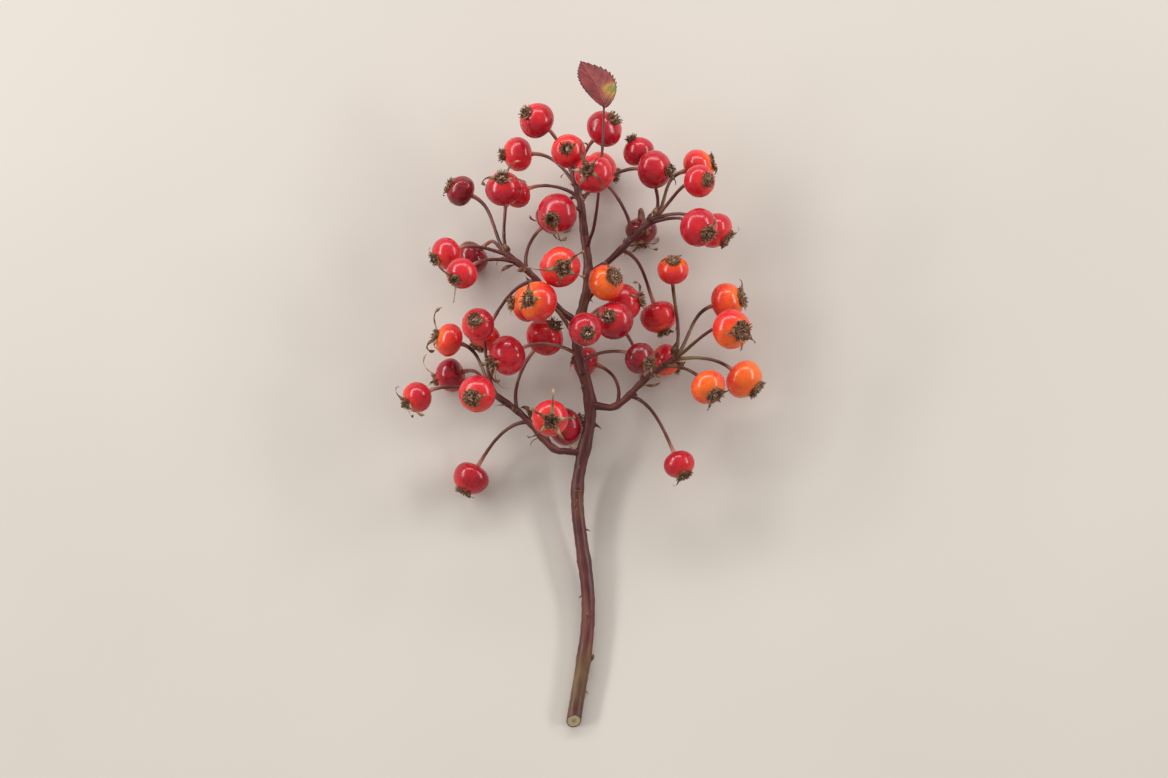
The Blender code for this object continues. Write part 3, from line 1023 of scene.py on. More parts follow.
    def prickle(self, shaper: Shaper, share: float, angle: float, length: float) -> None:
        """Adds a small prickle on a long foot, hooked towards the cut end.

        Args:
            shaper: The mesh.
            share: How far up the route it sits, from 0 to 1.
            angle: How far round the stem it sits, in radians.
            length: Its length.
        """
        point, out, ahead = self.outward(share, angle)
        foot = point + out * (self.radius(share) - self.prickle_sink)
        hook = self.prickle_hook * length
        route = [foot + out * (length * t) - ahead * (hook * t * t) for t in self.prickle_steps]
        radii = [radius * length for radius in self.prickle_radii]
        shaper.tube(
            route, radii, self.small_sides, self.prickle_tones, flatness=self.prickle_flatness, across=ahead
        )


@dataclass
class Branch:
    """A side branch or the top truss, with all of its hip stalks.

    follows is how strongly a stalk sets off along the branch. seat is how far it goes into its hip, in hip
    widths.
    """

    truss: Truss
    stem: Stem
    hips: list[HipPlace]
    ripeness: list[float]
    foot_radius: float = 1.6 * MM
    tip_radius: float = 1.2 * MM
    stalk_foot: float = 1.0 * MM
    stalk_middle: float = 0.72 * MM
    stalk_end: float = 1.05 * MM
    neck: float = 0.22 * MM
    neck_below_hip: float = 0.6 * MM
    neck_width: float = 1.3 * MM
    rosy_neck: float = 6.0 * MM
    rosy: float = 0.3
    greenish: float = 0.6
    heel: float = 0.05
    rings: int = 46
    sides: int = 16
    collar: float = 0.55 * MM
    knuckle: float = 0.35 * MM
    knuckle_width: float = 2.2 * MM
    roughness: float = 0.2 * MM
    tip_knob: float = 1.55 * MM
    knob_roughness: float = 0.25
    stalk_rings: int = 34
    stalk_sides: int = 12
    stalk_roughness: float = 0.1 * MM
    stalk_patches: float = 0.35
    tone: float = 0.1
    patches: float = 0.3
    gap: float = 0.3 * MM
    follows: float = 0.9
    seat: float = 0.075
    route: Route = field(init=False)

    def __post_init__(self) -> None:
        """Repeats the branch's route."""
        start, _ = along(smooth_route(metres(Stem.ROUTE, self.stem.shift), 25), self.truss.leaves)
        self.route = smooth_route([start, *metres(self.truss.route, self.stem.shift)], 11)

    def fine_route(self) -> Route:
        """Draws the branch out of the stem.

        Returns:
            The branch's centre line, which leaves the stem's own line gradually from a heel below the fork.
        """
        if self.truss.leaves >= 1:
            below = [along(self.stem.route, 1 - self.heel * step / 5)[0] for step in (4, 3, 2, 1)]
            return smooth_route([*below, *self.route], self.rings)
        heel, _ = along(self.stem.route, self.truss.leaves - self.heel)
        bend, _ = along(self.stem.route, self.truss.leaves - self.heel / 4)
        outward = (self.route[2] - bend).normalized()
        return smooth_route([heel, bend + outward * MM, *self.route[2:]], self.rings)

    def stalk_route(self, k: int) -> Route:
        """Repeats a stalk's centre line, and carries it on into the hip's dimple.

        Args:
            k: The number of its hip on the branch, from 0.

        Returns:
            The centre line.
        """
        hip = self.hips[k]
        fork, heading = along(self.route, self.truss.fork_share(k))
        end = hip.centre - hip.axis * (HipPlace.HALF_HEIGHT * hip.width + self.gap)
        reach = end - fork
        pull = reach.length / 3
        leaving = (heading * self.follows + reach.normalized()).normalized()
        b = fork + leaving * pull
        c = end - hip.axis * pull
        route = []
        for i in range(self.stalk_rings):
            t = i / (self.stalk_rings - 1)
            s = 1 - t
            route.append(fork * s**3 + b * 3 * s * s * t + c * 3 * s * t * t + end * t**3)
        return [*route, end + hip.axis * (self.gap + self.seat * hip.width)]

    def build(self, bark: Material) -> Piece:
        """Builds the branch and its stalks as one piece.

        Args:
            bark: The bark's material.

        Returns:
            The piece.
        """
        shaper = Shaper()
        fine = self.fine_route()
        walked = lengths(fine)
        forks = [along(self.route, self.truss.fork_share(k))[0] for k in range(self.truss.hips)]
        stem_radius = self.stem.radius(self.truss.leaves)
        axis, _ = along(self.stem.route, self.truss.leaves)
        radii, tones = [], []
        for distance, point in zip(walked, fine):
            share = distance / walked[-1]
            plain = self.foot_radius + (self.tip_radius - self.foot_radius) * share
            knuckles = min(1.0, sum(bump((point - fork).length, 0, self.knuckle_width) for fork in forks))
            collar = bump((point - axis).length, 0, 2.2 * stem_radius)
            radii.append(plain + self.collar * collar + self.knuckle * knuckles)
            patches = self.patches * noise.noise(Vector((share * 4, self.truss.leaves * 9, 0)))
            tones.append(self.tone + patches)
        shaper.tube(fine, radii, self.sides, tones, rough=self.roughness)
        tip, heading = along(self.route, 1.0)
        knob = Matrix.Translation(tip + heading * (0.3 * MM)) @ Matrix.Scale(self.tip_knob, 4)
        shaper.ball(knob, self.tone, self.knob_roughness, subdivisions=2)
        for k in range(self.truss.hips):
            shaper.absorb(self.stalk(k))
        return shaper.finish(self.truss.name + "_bark", [bark])

    def stalk(self, k: int) -> Shaper:
        """Builds a stalk, which thickens at both ends, is greener under an orange hip and rosier at the hip.

        Args:
            k: The number of its hip on the branch, from 0.

        Returns:
            The stalk, in a mesh of its own.
        """
        route = self.stalk_route(k)
        walked = lengths(route)
        ripe = self.ripeness[k]
        radii, tones = [], []
        for distance in walked:
            t = distance / walked[-1]
            radius = self.stalk_middle + (self.stalk_foot - self.stalk_middle) * (1 - t) ** 4
            radius += (self.stalk_end - self.stalk_middle) * t**5
            radius += self.neck * bump(distance, walked[-1] - self.neck_below_hip, self.neck_width)
            radii.append(radius)
            patches = self.stalk_patches * noise.noise(Vector((t * 3, k, self.truss.leaves * 9)))
            green = ripe * (0.4 + 0.35 * t) if ripe > self.greenish else -self.rosy * t
            neck = bump(distance, walked[-1], self.rosy_neck)
            tones.append((green + patches) * (1 - neck) - neck)
        shaper = Shaper()
        shaper.tube(route, radii, self.stalk_sides, tones, rough=self.stalk_roughness)
        return shaper


@dataclass
class Hip:
    """One hip's skin: squat, dimpled at its stalk and puckered round its calyx. Shares are of its width."""

    place: HipPlace
    ripeness: float
    seed: int
    columns: int = 64
    rows: int = 28
    dimple_depth: float = 0.055
    dimple_radius: float = 0.10
    lip_height: float = 0.014
    lip_radius: float = 0.205
    lip_width: float = 0.035
    crown_dip: float = 0.02
    crown_radius: float = 0.16
    unevenness: float = 0.022
    squatness: Range = (0.93, 1.03)
    droops: Range = (-0.055, 0.005)
    fullnesses: Range = (0.80, 0.92)
    lobe_depths: Range = (0.0, 0.018)
    leans: Range = (-0.05, 0.05)
    pucker_depths: tuple[float, ...] = (0.0, 0.006, 0.014, 0.03)
    wrinkle_depth: float = 0.05
    wrinkled_below: float = 0.1
    crown_glow: float = 0.22
    # How much more orange the painted lit side of a hip is drawn.
    painted_lit_side: float = 0.36
    chance: random.Random = field(init=False)
    squat: float = field(init=False)
    wrinkling: float = field(init=False)
    FOLDS = Matrix.Diagonal((4.5, 4.5, 1.0))
    RIBS = Matrix.Diagonal((3.1, 3.1, 0.7))

    def __post_init__(self) -> None:
        """Picks how squat and how wrinkled it is."""
        self.chance = random.Random(self.seed)
        self.squat = self.chance.uniform(*self.squatness)
        self.wrinkling = self.wrinkle_depth if self.ripeness < self.wrinkled_below else 0.0

    def crown(self) -> float:
        """Gives the height of its calyx end above its centre."""
        return HipPlace.HALF_HEIGHT * self.squat - self.crown_dip

    def build(self, skin: Material) -> Piece:
        """Builds the skin.

        Args:
            skin: The skin's material.

        Returns:
            The piece.
        """
        chance = self.chance
        droop = chance.uniform(*self.droops)
        fullness = chance.uniform(*self.fullnesses)
        lobes = chance.uniform(*self.lobe_depths)
        phase = chance.uniform(0, math.tau)
        lean = Vector((chance.uniform(*self.leans), chance.uniform(*self.leans), 0))
        stray = Vector([chance.uniform(-50, 50) for _ in range(3)])
        # The way to each hip's painted lit side, chosen at random.
        painted_lit_way = Vector((chance.uniform(-1, 1), chance.uniform(-1, 1), chance.uniform(0.2, 1))).normalized()
        puckers = chance.choice(self.pucker_depths)
        shaper = Shaper()
        made = bmesh.ops.create_uvsphere(
            shaper.bm, u_segments=self.columns, v_segments=self.rows, radius=1.0
        )["verts"]
        for v in made:
            way = v.co.copy()
            level = math.hypot(way.x, way.y)
            angle = math.atan2(way.y, way.x)
            radius = 0.5 * level**fullness
            height = HipPlace.HALF_HEIGHT * self.squat * way.z + droop * (1 - way.z**2)
            if way.z < 0:
                height += self.dimple_depth * bump(radius, 0, self.dimple_radius)
            else:
                height += self.lip_height * bump(radius, self.lip_radius, self.lip_width)
                height -= self.crown_dip * bump(radius, 0, self.crown_radius)
                radius *= 1 + lobes * math.cos(5 * angle + phase) * bump(way.z, 0.85, 0.35)
            radius *= 1 + self.unevenness * noise.noise(way * 1.3 + stray)
            radius *= 1 - self.wrinkling * abs(noise.noise(self.FOLDS @ way + stray))
            radius *= 1 + puckers * noise.noise(self.RIBS @ way + stray) * bump(way.z, 0.45, 0.55)
            outward = Vector((way.x, way.y, 0)).normalized() if level > 1e-6 else Vector()
            v.co = outward * radius + lean * (way.z * 0.5) + UP * height
            v[shaper.grain] = v.co + stray
            glow = self.crown_glow * bump(way.z, 1.0, 0.28)
            # Painted light: one side of the hip is drawn more orange and the other redder, as if lit and
            # shaded.
            side = self.painted_lit_side * self.ripeness * way.dot(painted_lit_way)
            v[shaper.tone] = self.ripeness + glow * (0.4 + self.ripeness) + side
        bmesh.ops.transform(shaper.bm, matrix=self.place.matrix(), verts=made)
        return shaper.finish(self.place.node + "_skin", [skin])


class CalyxKind(Enum):
    """How the dry calyx of a hip has weathered."""

    BUTTON = "button"
    PATCH = "patch"
    CURLED = "curled"


@dataclass(frozen=True)
class DishShape:
    """One kind of dish and its stamens: lengths in hip widths, angles in degrees from upright."""

    radius: Range
    rise: Range
    stamens: int
    stamen_length: Range
    lean: float
    lean_at_rim: float
    lean_stray: Range
    strap_share: float


BUTTON_DISH = DishShape((0.155, 0.20), (0.07, 0.095), 62, (0.07, 0.14), -22, 66, (-20, 20), 0.2)
PATCH_DISH = DishShape((0.205, 0.26), (0.05, 0.07), 88, (0.05, 0.11), 36, 50, (-30, 14), 0.3)


@dataclass(frozen=True)
class SepalShape:
    """One state of a sepal, in hip widths.

    turn is how far it curls back, in radians, and tip how broad its tip is beside its foot.
    """

    length: Range
    turn: Range
    half_width: float
    tip: float


LEAFY_SEPAL = SepalShape((0.5, 0.95), (1.2, 3.4), 0.08, 0.85)
STRAP_SEPAL = SepalShape((0.26, 0.44), (1.2, 2.6), 0.10, 0.2)
SEPAL_STUB = SepalShape((0.07, 0.14), (1.0, 1.0), 0.055, 0.0)


@dataclass
class Calyx:
    """The dry end of one hip: a crumbling dish, stamens, styles and what is left of five sepals.

    Sizes are in hip widths. rim and rim_width say where the dish stands highest and styles_radius how far out
    the styles reach, as shares of the dish's radius. style_lengths are over a style's own thickness.
    """

    hip: Hip
    kind: CalyxKind
    rim: float = 0.66
    rim_width: float = 0.30
    dish_depth: float = 0.05
    crumbs: int = 9
    crumb_sizes: Range = (0.012, 0.026)
    crumb_tones: Range = (0.3, 1.0)
    crumble: float = 0.38
    ragged_edge: float = 0.3
    stamen_foot: float = 0.010
    stamen_tips: Range = (0.004, 0.012)
    stamen_stray: Range = (-0.6, 0.6)
    stamen_tones: tuple[float, ...] = (0.2, 0.35, 0.5, 0.65, 0.85)
    styles_share: float = 0.75
    styles_radius: float = 0.36
    styles_stray: Range = (-0.03, 0.03)
    style_counts: tuple[int, int] = (4, 8)
    style_sizes: Range = (0.018, 0.030)
    style_lean: Range = (-0.8, 0.8)
    style_lengths: Range = (1.4, 2.4)
    style_tones: Range = (0.7, 1.15)
    leafy_share: float = 0.5
    stub_share: float = 0.6
    sepal_rings: int = 18
    stub_rings: int = 6
    sepal_lift: Range = (0.3, 1.1)
    sepal_swing: Range = (-0.7, 0.7)
    sepal_twist: Range = (-2.4, 2.4)
    sepal_tones: Range = (0.35, 0.65)
    sepal_flatness: float = 0.22
    sepal_clearance: float = 0.06
    shape: DishShape = field(init=False)
    chance: random.Random = field(init=False)
    seat: float = field(init=False)
    radius: float = field(init=False)
    rise: float = field(init=False)
    matrix: Matrix = field(init=False)

    def __post_init__(self) -> None:
        """Picks the dish's size, in hip widths, for its kind."""
        self.chance = random.Random(self.hip.seed * 7)
        self.seat = self.hip.crown() + 0.005
        self.shape = PATCH_DISH if self.kind is CalyxKind.PATCH else BUTTON_DISH
        self.radius = self.chance.uniform(*self.shape.radius)
        self.rise = self.chance.uniform(*self.shape.rise)
        self.matrix = self.hip.place.matrix()

    def build(self) -> Shaper:
        """Builds the whole calyx.

        Returns:
            The calyx, in a mesh of its own.
        """
        shaper = Shaper()
        self.dish(shaper)
        self.crumbling(shaper)
        self.stamen_ring(shaper)
        if self.chance.random() < self.styles_share:
            self.styles(shaper)
        self.sepals(shaper)
        return shaper

    def dish(self, shaper: Shaper) -> None:
        """Adds the crumbly ring that the sepals and stamens stood on, hollow in the middle.

        Args:
            shaper: The mesh.
        """
        made = bmesh.ops.create_icosphere(shaper.bm, subdivisions=3, radius=1.0)["verts"]
        stray = Vector((self.hip.seed * 3.7, 0, 0))
        for v in made:
            way = v.co.copy()
            level = math.hypot(way.x, way.y)
            crumbs = noise.noise(way * 3.1 + stray) + 0.7 * noise.noise(way * 7.7 + stray)
            top = self.rise * (0.25 + 0.75 * bump(level, self.rim, self.rim_width) + self.crumble * crumbs)
            height = top if way.z > 0 else -self.dish_depth
            ragged = self.ragged_edge * noise.noise(Vector((way.x * 2.4, way.y * 2.4, self.hip.seed)))
            edge = self.radius * (1 + ragged)
            v.co = Vector((way.x * edge, way.y * edge, self.seat + height * min(1.0, abs(way.z) * 3)))
            v[shaper.tone] = 0.45 + self.crumble * crumbs - 0.3 * bump(level, 0.0, 0.45)
        bmesh.ops.transform(shaper.bm, matrix=self.matrix, verts=made)

    def crumbling(self, shaper: Shaper) -> None:
        """Scatters loose crumbs of dry tissue over the dish.

        Args:
            shaper: The mesh.
        """
        for _ in range(self.crumbs):
            angle = self.chance.uniform(0, math.tau)
            share = self.chance.uniform(0.35, 1.0)
            centre = level_way(angle) * (self.radius * share)
            centre.z = self.seat + self.rise * self.chance.uniform(0.3, 0.9) * (1.2 - 0.7 * share)
            size = self.chance.uniform(*self.crumb_sizes)
            shape = Matrix.Diagonal((size * 1.6, size, size * 0.8, 1))
            turn = Euler([self.chance.uniform(0, math.pi) for _ in range(3)]).to_matrix().to_4x4()
            tone = self.chance.uniform(*self.crumb_tones)
            shaper.ball(self.matrix @ Matrix.Translation(centre) @ turn @ shape, tone, 0.6)

    def stamen_ring(self, shaper: Shaper) -> None:
        """Adds the dried stamens, which lie flatter towards the rim.

        Args:
            shaper: The mesh.
        """
        turn = self.matrix.to_quaternion()
        width = self.hip.place.width
        shape = self.shape
        for k in range(shape.stamens):
            share = 0.42 + 0.55 * (k + 0.5) / shape.stamens
            angle = k * GOLDEN_ANGLE + self.chance.uniform(-0.3, 0.3)
            radial = level_way(angle)
            aside = UP.cross(radial) * self.chance.uniform(*self.stamen_stray)
            lean = shape.lean + shape.lean_at_rim * share + self.chance.uniform(*shape.lean_stray)
            tilt = math.radians(lean)
            length = self.chance.uniform(*shape.stamen_length)
            height = self.seat + self.rise * (0.15 + 0.5 * bump(share, self.rim, self.rim_width))
            foot = radial * (self.radius * share) + UP * height
            way = (radial * math.sin(tilt) + UP * math.cos(tilt) + aside).normalized()
            radii = (self.stamen_foot * width, self.chance.uniform(*self.stamen_tips) * width)
            tone = self.chance.choice(self.stamen_tones)
            shaper.spike(self.matrix @ foot, turn @ way, length * width, radii, tone)

    def styles(self, shaper: Shaper) -> None:
        """Adds the pale knot of dried styles, a little off the middle.

        Args:
            shaper: The mesh.
        """
        count = self.chance.randint(*self.style_counts)
        off = Vector((self.chance.uniform(*self.styles_stray), self.chance.uniform(*self.styles_stray), 0))
        for k in range(count):
            share = math.sqrt(k / count) * self.styles_radius
            angle = k * GOLDEN_ANGLE
            top = self.seat + self.rise * self.chance.uniform(0.45, 1.05)
            centre = level_way(angle) * (self.radius * share) + off + UP * top
            size = self.chance.uniform(*self.style_sizes)
            lean = (self.chance.uniform(*self.style_lean), self.chance.uniform(*self.style_lean), 0)
            turn = Euler(lean).to_matrix().to_4x4()
            shape = Matrix.Diagonal((size, size, size * self.chance.uniform(*self.style_lengths), 1))
            place = self.matrix @ Matrix.Translation(centre) @ turn @ shape
            shaper.ball(place, self.chance.uniform(*self.style_tones), 0.3)

    def sepals(self, shaper: Shaper) -> None:
        """Adds what is left of the five sepals.

        Args:
            shaper: The mesh.
        """
        first = self.chance.uniform(0, math.tau)
        for k in range(5):
            angle = first + k * math.tau / 5 + self.chance.uniform(-0.15, 0.15)
            if self.kind is CalyxKind.CURLED and self.chance.random() < self.leafy_share:
                self.sepal(shaper, angle, LEAFY_SEPAL)
            elif self.chance.random() < self.shape.strap_share:
                self.sepal(shaper, angle, STRAP_SEPAL)
            elif self.chance.random() < self.stub_share:
                self.sepal(shaper, angle, SEPAL_STUB)

    def sepal(self, shaper: Shaper, angle: float, shape: SepalShape) -> None:
        """Adds one sepal.

        Args:
            shaper: The mesh.
            angle: Where on the rim it grows, in radians.
            shape: Its state.
        """
        length = self.chance.uniform(*shape.length)
        turn = self.chance.uniform(*shape.turn) if shape is not SEPAL_STUB else shape.turn[0]
        radial = level_way(angle)
        side = UP.cross(radial)
        start = radial * (self.radius * 0.85) + UP * (self.seat + 0.015)
        heading = (radial + UP * self.chance.uniform(*self.sepal_lift)).normalized()
        swing = Quaternion(heading, self.chance.uniform(*self.sepal_swing))
        count = self.stub_rings if shape is SEPAL_STUB else self.sepal_rings
        local = curling_route(start, heading, swing @ side, length, turn, count)
        width = self.hip.place.width
        route = [above_floor(self.matrix @ point, self.sepal_clearance * width) for point in local]
        radii, tones = [], []
        base = self.chance.uniform(*self.sepal_tones)
        for k in range(count):
            t = k / (count - 1)
            blade = max(0.22, (1 - 1.4 * t)) * (1 - t**6) + shape.tip * 0.7 * bump(t, 0.84, 0.10)
            radii.append(max(0.006, shape.half_width * blade) * width)
            tones.append(base + 0.2 * math.sin(9 * t))
        across = self.matrix.to_quaternion() @ side
        rough = 0.3 * shape.half_width * width
        twist = self.chance.uniform(*self.sepal_twist) * (shape is LEAFY_SEPAL)
        shaper.tube(
            route, radii, 6, tones, flatness=self.sepal_flatness, rough=rough, across=across, twist=twist
        )


@dataclass
class Bracts:
    """Shrivelled bracts at the forks of a branch.

    lengths are in millimetres, and turns and twists in radians. follows is how strongly a bract sets off
    along the branch.
    """

    branch: Branch
    seed: int
    at_tip: int = 2
    forks: int = 5
    lengths: Range = (5.5, 11.0)
    half_width: float = 1.35 * MM
    thinnest: float = 0.1 * MM
    tip_radius: float = 0.08 * MM
    stand_off: float = 0.9 * MM
    clearance: float = 1.2 * MM
    follows: Range = (0.3, 1.0)
    turns: Range = (-3.2, 2.4)
    twists: Range = (-2, 2)
    tones: Range = (0.3, 0.7)
    rings: int = 14
    sides: int = 8
    flatness: float = 0.16
    roughness: float = 0.3 * MM

    def add_to(self, shaper: Shaper) -> None:
        """Adds the bracts.

        Args:
            shaper: The mesh.
        """
        chance = random.Random(self.seed)
        truss = self.branch.truss
        shares = sorted({truss.fork_share(k) for k in range(truss.hips)}, reverse=True)
        for k, share in enumerate(shares[: self.forks]):
            point, heading = along(self.branch.route, share)
            for j in range(self.at_tip if k == 0 else 1):
                around = Quaternion(heading, (k * 3 + j) * GOLDEN_ANGLE + chance.uniform(-0.4, 0.4))
                out = around @ heading.orthogonal().normalized()
                length = chance.uniform(*self.lengths) * MM
                way = (out + heading * chance.uniform(*self.follows)).normalized()
                side = heading.cross(out).normalized()
                turn = chance.uniform(*self.turns)
                curl = curling_route(point + out * self.stand_off, way, side, length, turn, self.rings)
                route = [above_floor(place, self.clearance) for place in curl]
                tone = chance.uniform(*self.tones)
                twist = chance.uniform(*self.twists)
                tones = [tone + 0.15 * math.sin(step) for step in range(self.rings)]
                shaper.tube(
                    route,
                    self.radii(),
                    self.sides,
                    tones,
                    flatness=self.flatness,
                    rough=self.roughness,
                    across=side,
                    twist=twist,
                )

    def radii(self) -> list[float]:
        """Shapes a bract.

        Returns:
            Its half width at each ring, from a narrow foot to a pointed tip.
        """
        radii = []
        for step in range(self.rings):
            swelling = math.sin(math.pi * min(1.0, 0.12 + step / (self.rings - 1))) ** 0.8
            radii.append(max(self.thinnest, self.half_width * swelling))
        radii[-1] = self.tip_radius
        return radii


@dataclass
class Leaf:
    """The one leaflet left, toothed, folded along its midrib and curled at its tip, on its stalk.

    ROUTE is the stalk's, in millimetres. leaves is the share of the stem's route where it starts.
    """

    stem: Stem
    leaves: float = 0.94
    ROUTE = ((6, 224, 38), (9, 250, 54), (10, 274, 56))
    stalk_radii: tuple[float, float] = (0.8 * MM, 0.48 * MM)
    foot_swelling: float = 0.7 * MM
    foot_swelling_width: float = 3.5 * MM
    joint_swelling: float = 0.18 * MM
    length: float = 27 * MM
    width: float = 16 * MM
    thickness: float = 0.32 * MM
    turn: tuple[float, float, float] = (math.radians(-12), math.radians(18), math.radians(14))
    fold: float = math.radians(22)
    stalk_in_blade: float = 2.5 * MM
    blunt_end: float = 0.3 * MM
    joint: float = 0.72
    stalk_sides: int = 10
    stalk_roughness: float = 0.08 * MM
    stalk_tone: float = 0.15
    stub_length: float = 1.9 * MM
    stub_steps: tuple[float, ...] = (0.0, 0.4, 0.8, 1.0)
    stub_radii: tuple[float, ...] = (0.42 * MM, 0.34 * MM, 0.3 * MM, 0.1 * MM)
    teeth: int = 13
    tooth_depth: float = 0.13
    edge_sharpness: int = 14
    vein_pairs: int = 6
    vein_width: float = 0.28 * MM
    vein_sink: float = 0.12 * MM
    quilting: float = 0.22 * MM
    tip_drop: float = 3.4 * MM
    tip_drift: float = 2.4 * MM
    across: int = 60
    lengthwise: int = 208

    def build(self, blade: Material, bark: Material) -> Piece:
        """Builds the leaf.

        Args:
            blade: The blade's material.
            bark: The stalk's material.

        Returns:
            The piece.
        """
        start, _ = along(smooth_route(metres(Stem.ROUTE, self.stem.shift), 25), self.leaves)
        coarse = smooth_route([start, *metres(self.ROUTE, self.stem.shift)], 9)
        route = smooth_route(coarse, 40)
        shaper = Shaper()
        self.blade(shaper, route[-1])
        count = len(shaper.bm.faces)
        walked = lengths(route)
        radii = []
        for distance in walked:
            t = distance / walked[-1]
            plain = self.stalk_radii[0] + (self.stalk_radii[1] - self.stalk_radii[0]) * t
            ending = min(1.0, (walked[-1] - distance) / self.stalk_in_blade + 0.25)
            knuckles = self.foot_swelling * bump(distance, 0, self.foot_swelling_width)
            knuckles += self.joint_swelling * bump(t, self.joint, 0.02)
            radii.append((plain + knuckles) * ending)
        tones = [self.stalk_tone] * len(route)
        shaper.tube(route, radii, self.stalk_sides, tones, rough=self.stalk_roughness)
        joint, heading = along(route, self.joint)
        for sign in (-1, 1):
            way = (heading + heading.cross(UP).normalized() * sign * 1.2).normalized()
            stub = [joint + way * (self.stub_length * t) for t in self.stub_steps]
            shaper.tube(stub, self.stub_radii, 8, [0.0] * len(stub))
        shaper.bm.faces.ensure_lookup_table()
        for face in shaper.bm.faces[count:]:
            face.material_index = 1
        return shaper.finish("leaf_blade", [blade, bark])

    def half_width(self, t: float) -> float:
        """Gives the blade's half width at that share of its length."""
        rounded = math.sin(math.pi * min(t**0.9, 1.0)) ** (0.55 + 0.5 * t)
        return max(self.blunt_end, self.width / 2 * rounded)

    def climb(self, u: float, t: float) -> float:
        """Counts the side veins below a place on the blade, a whole number on a vein."""
        return (t - 0.26 * abs(u) ** 1.2 - 0.04) * self.vein_pairs / 0.82

    def vein(self, u: float, t: float) -> float:
        """Tells how near a place on the blade is to a vein, from 0 to 1.

        Args:
            u: Its place across the blade, from -1 to 1.
            t: Its place along the blade, from 0 to 1.

        Returns:
            1 on a vein.
        """
        midrib = bump(abs(u) * self.half_width(t), 0, self.vein_width)
        climb = self.climb(u, t)
        nearest = abs(climb - round(climb)) if 0 <= round(climb) < self.vein_pairs else 1.0
        lateral = bump(nearest, 0, 0.055) * min(1.0, (1.05 - abs(u)) * 3)
        return max(midrib, lateral * 0.8)

    def blade(self, shaper: Shaper, stalk_end: Vector) -> None:
        """Adds the blade: a grid drawn out to the toothed outline, then folded, curled and thickened.

        Args:
            shaper: The mesh.
            stalk_end: Where the blade's own stalk ends, inside the blade.
        """
        made = bmesh.ops.create_grid(
            shaper.bm, x_segments=self.across, y_segments=self.lengthwise, size=1.0
        )["verts"]
        turn = Euler(self.turn).to_matrix().to_4x4()
        base = stalk_end - turn @ Vector((0, self.stalk_in_blade, 0))
        place = Matrix.Translation(base) @ turn
        for v in made:
            u, t = v.co.x, (v.co.y + 1) / 2
            saw = (t * self.teeth) % 1.0
            edge = abs(u) ** self.edge_sharpness
            tooth = (self.tooth_depth * saw - 0.04) * edge * min(1.0, t / 0.35) if t < 0.985 else 0.0
            half = self.half_width(t) * (1 + tooth)
            forward = 0.5 * MM * saw * edge if t < 0.97 else 0.0
            vein = self.vein(u, t)
            quilt = -self.quilting * bump(abs(u), 0.55, 0.35) * math.cos(math.tau * self.climb(u, t))
            height = abs(u) * half * math.tan(self.fold) * (1 - 0.35 * t) + quilt - self.vein_sink * vein
            height += -self.tip_drop * t**2.2 + 0.5 * MM * noise.noise(Vector((u * 1.5, t * 3, 2.0)))
            drift = -self.tip_drift * t**2.5
            v[shaper.grain] = Vector((u * half / self.length, t, abs(u)))
            v[shaper.tone] = vein
            v.co = Vector((u * half + drift, self.length * t + forward, height))
        lower = bmesh.ops.extrude_face_region(shaper.bm, geom=shaper.bm.faces[:], use_keep_orig=True)["geom"]
        corners = [part for part in lower if isinstance(part, Corner)]
        bmesh.ops.translate(shaper.bm, vec=(0, 0, -self.thickness), verts=corners)
        bmesh.ops.transform(shaper.bm, matrix=place, verts=shaper.bm.verts[:])


@dataclass
class Studio:
    """The floor, three long soft lights round the far side and the camera that looks down on the sprig.

    frame_height_share is the picture's height over its width.
    """

    floor_size: float = 20.0
    lens: float = 85.0
    sensor: float = 36.0
    frame_height_share: float = 0.6661
    fill_share: float = 0.86
    elevation: float = math.radians(80)
    room_colour: Colour = (0.93, 0.90, 0.87, 1)
    room_strength: float = 0.43

    def build(self) -> None:
        """Sets everything up."""
        self.floor()
        self.light("left_light", Vector((-1.60, 0.60, 1.05)), (2.0, 0.26), 25.5)
        self.light("right_light", Vector((1.70, 0.50, 1.00)), (1.8, 0.26), 19.0)
        self.light("far_light", Vector((-0.10, 1.80, 1.20)), (2.6, 0.30), 27.0)
        world = bpy.data.worlds.new("soft_room")
        world.use_nodes = True
        background = world.node_tree.nodes["Background"]
        background.inputs["Color"].default_value = self.room_colour
        background.inputs["Strength"].default_value = self.room_strength
        bpy.context.scene.view_settings.view_transform = "Standard"
        bpy.context.scene.world = world
        self.camera()

    def floor(self) -> None:
        """Lays the floor."""
        bm = bmesh.new()
        bmesh.ops.create_grid(bm, x_segments=1, y_segments=1, size=self.floor_size / 2)
        mesh = bpy.data.meshes.new("floor")
        bm.to_mesh(mesh)
        bm.free()
        mesh.materials.append(PaleFloor().material())
        floor = bpy.data.objects.new("floor", mesh)
        bpy.context.scene.collection.objects.link(floor)

    def light(self, name: str, place: Vector, size: tuple[float, float], power: float) -> None:
        """Hangs a soft rectangular light that faces the sprig.

        Args:
            name: The light's name.
            place: Where it hangs.
            size: Its width and height.
            power: Its power, in watts.
        """
        data = bpy.data.lights.new(name, "AREA")
        data.shape = "RECTANGLE"
        data.size, data.size_y = size
        data.energy = power
        light = bpy.data.objects.new(name, data)
        light.location = place
        light.rotation_euler = (-place).to_track_quat("-Z", "Y").to_euler()
        bpy.context.scene.collection.objects.link(light)

    def camera(self) -> None:
        """Places the camera so that the sprig's length fills most of the picture's height."""
        low, high = (Vector(corner) for corner in CAD_BOX)
        target = (low + high) / 2
        seen = (high.y - low.y) / self.fill_share
        distance = self.lens * seen / (self.sensor * self.frame_height_share)
        out = Vector((0, -math.cos(self.elevation), math.sin(self.elevation)))
        data = bpy.data.cameras.new("camera")
        data.lens = self.lens
        data.sensor_width = self.sensor
        camera = bpy.data.objects.new("camera", data)
        camera.location = target + out * distance
        camera.rotation_euler = (-out).to_track_quat("-Z", "Y").to_euler()
        bpy.context.scene.collection.objects.link(camera)
        bpy.context.scene.camera = camera


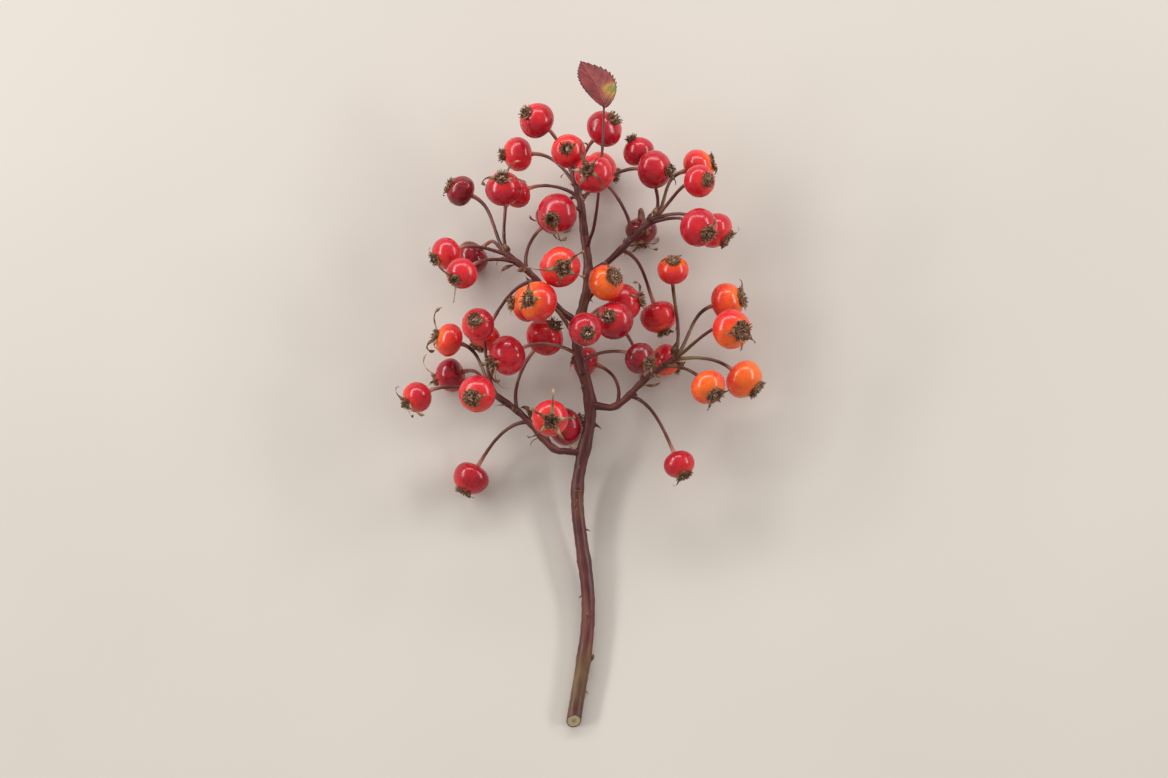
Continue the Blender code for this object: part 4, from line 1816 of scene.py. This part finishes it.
class Sprig:
    """The whole sprig, built piece by piece over the frame."""

    ORANGE_RIPENESS = (0.62, 0.82)
    RED_RIPENESS = (0.16, 0.48)
    OVERRIPE = (0.0, 0.1)
    OVERRIPE_SHARE = 0.12
    CALYXES = [CalyxKind.BUTTON] * 3 + [CalyxKind.PATCH] * 4 + [CalyxKind.CURLED] * 3

    def __init__(self) -> None:
        """Makes the materials and reads the layout."""
        self.skin = HipSkin().material()
        self.bark = Bark().material()
        self.wood = CutWood().material()
        self.dry = DryTissue().material()
        self.blade = LeafBlade().material()
        self.stem = Stem()
        self.branches: list[Branch] = []
        first = 1
        for truss in TRUSSES:
            places = [HipPlace.read(f"hip_{first + k:02d}") for k in range(truss.hips)]
            ripeness = [self.ripeness(truss, first + k) for k in range(truss.hips)]
            self.branches.append(Branch(truss, self.stem, places, ripeness))
            first += truss.hips

    @classmethod
    def ripeness(cls, truss: Truss, number: int) -> float:
        """Picks how orange a hip is.

        Args:
            truss: The branch that it hangs on.
            number: The hip's number on the sprig, from 1.

        Returns:
            0 for overripe, about 0.3 for crimson and up to 1 for orange.
        """
        chance = random.Random(number * 31)
        if chance.random() < truss.orange:
            return chance.uniform(*cls.ORANGE_RIPENESS)
        return chance.uniform(*(cls.OVERRIPE if chance.random() < cls.OVERRIPE_SHARE else cls.RED_RIPENESS))

    @staticmethod
    def keep(piece: Piece, slot: str, *nodes: str) -> None:
        """Fixes a piece to the sprig's body and hides the solids that it stands for.

        Args:
            piece: The piece.
            slot: The name of its finish's slot; not used.
            nodes: The solids that it replaces, or none.
        """
        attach(piece, "root")
        if nodes:
            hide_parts(*nodes)
        LOG.info("%s: %d faces", piece.name, len(piece.data.polygons))

    def build(self) -> None:
        """Builds every piece."""
        self.keep(self.stem.build(self.bark, self.wood), "bark", "stem")
        self.keep(Leaf(self.stem).build(self.blade, self.bark), "leaf_blade", "leaf")
        number = 1
        for branch in self.branches:
            self.keep(branch.build(self.bark), "bark", branch.truss.name)
            dry = Shaper()
            for place, ripeness in zip(branch.hips, branch.ripeness):
                hip = Hip(place, ripeness, number)
                self.keep(hip.build(self.skin), "hip_skin", place.node)
                dry.absorb(Calyx(hip, random.Random(number * 17).choice(self.CALYXES)).build())
                number += 1
            Bracts(branch, number).add_to(dry)
            self.keep(dry.finish(branch.truss.name + "_dry_tissue", [self.dry]), "dry_calyx")


def main() -> None:
    """Builds the sprig and its studio, and logs each piece's face count."""
    logging.basicConfig(level=logging.INFO, format="%(message)s")
    Sprig().build()
    Studio().build()


if __name__ == "__main__":
    main()
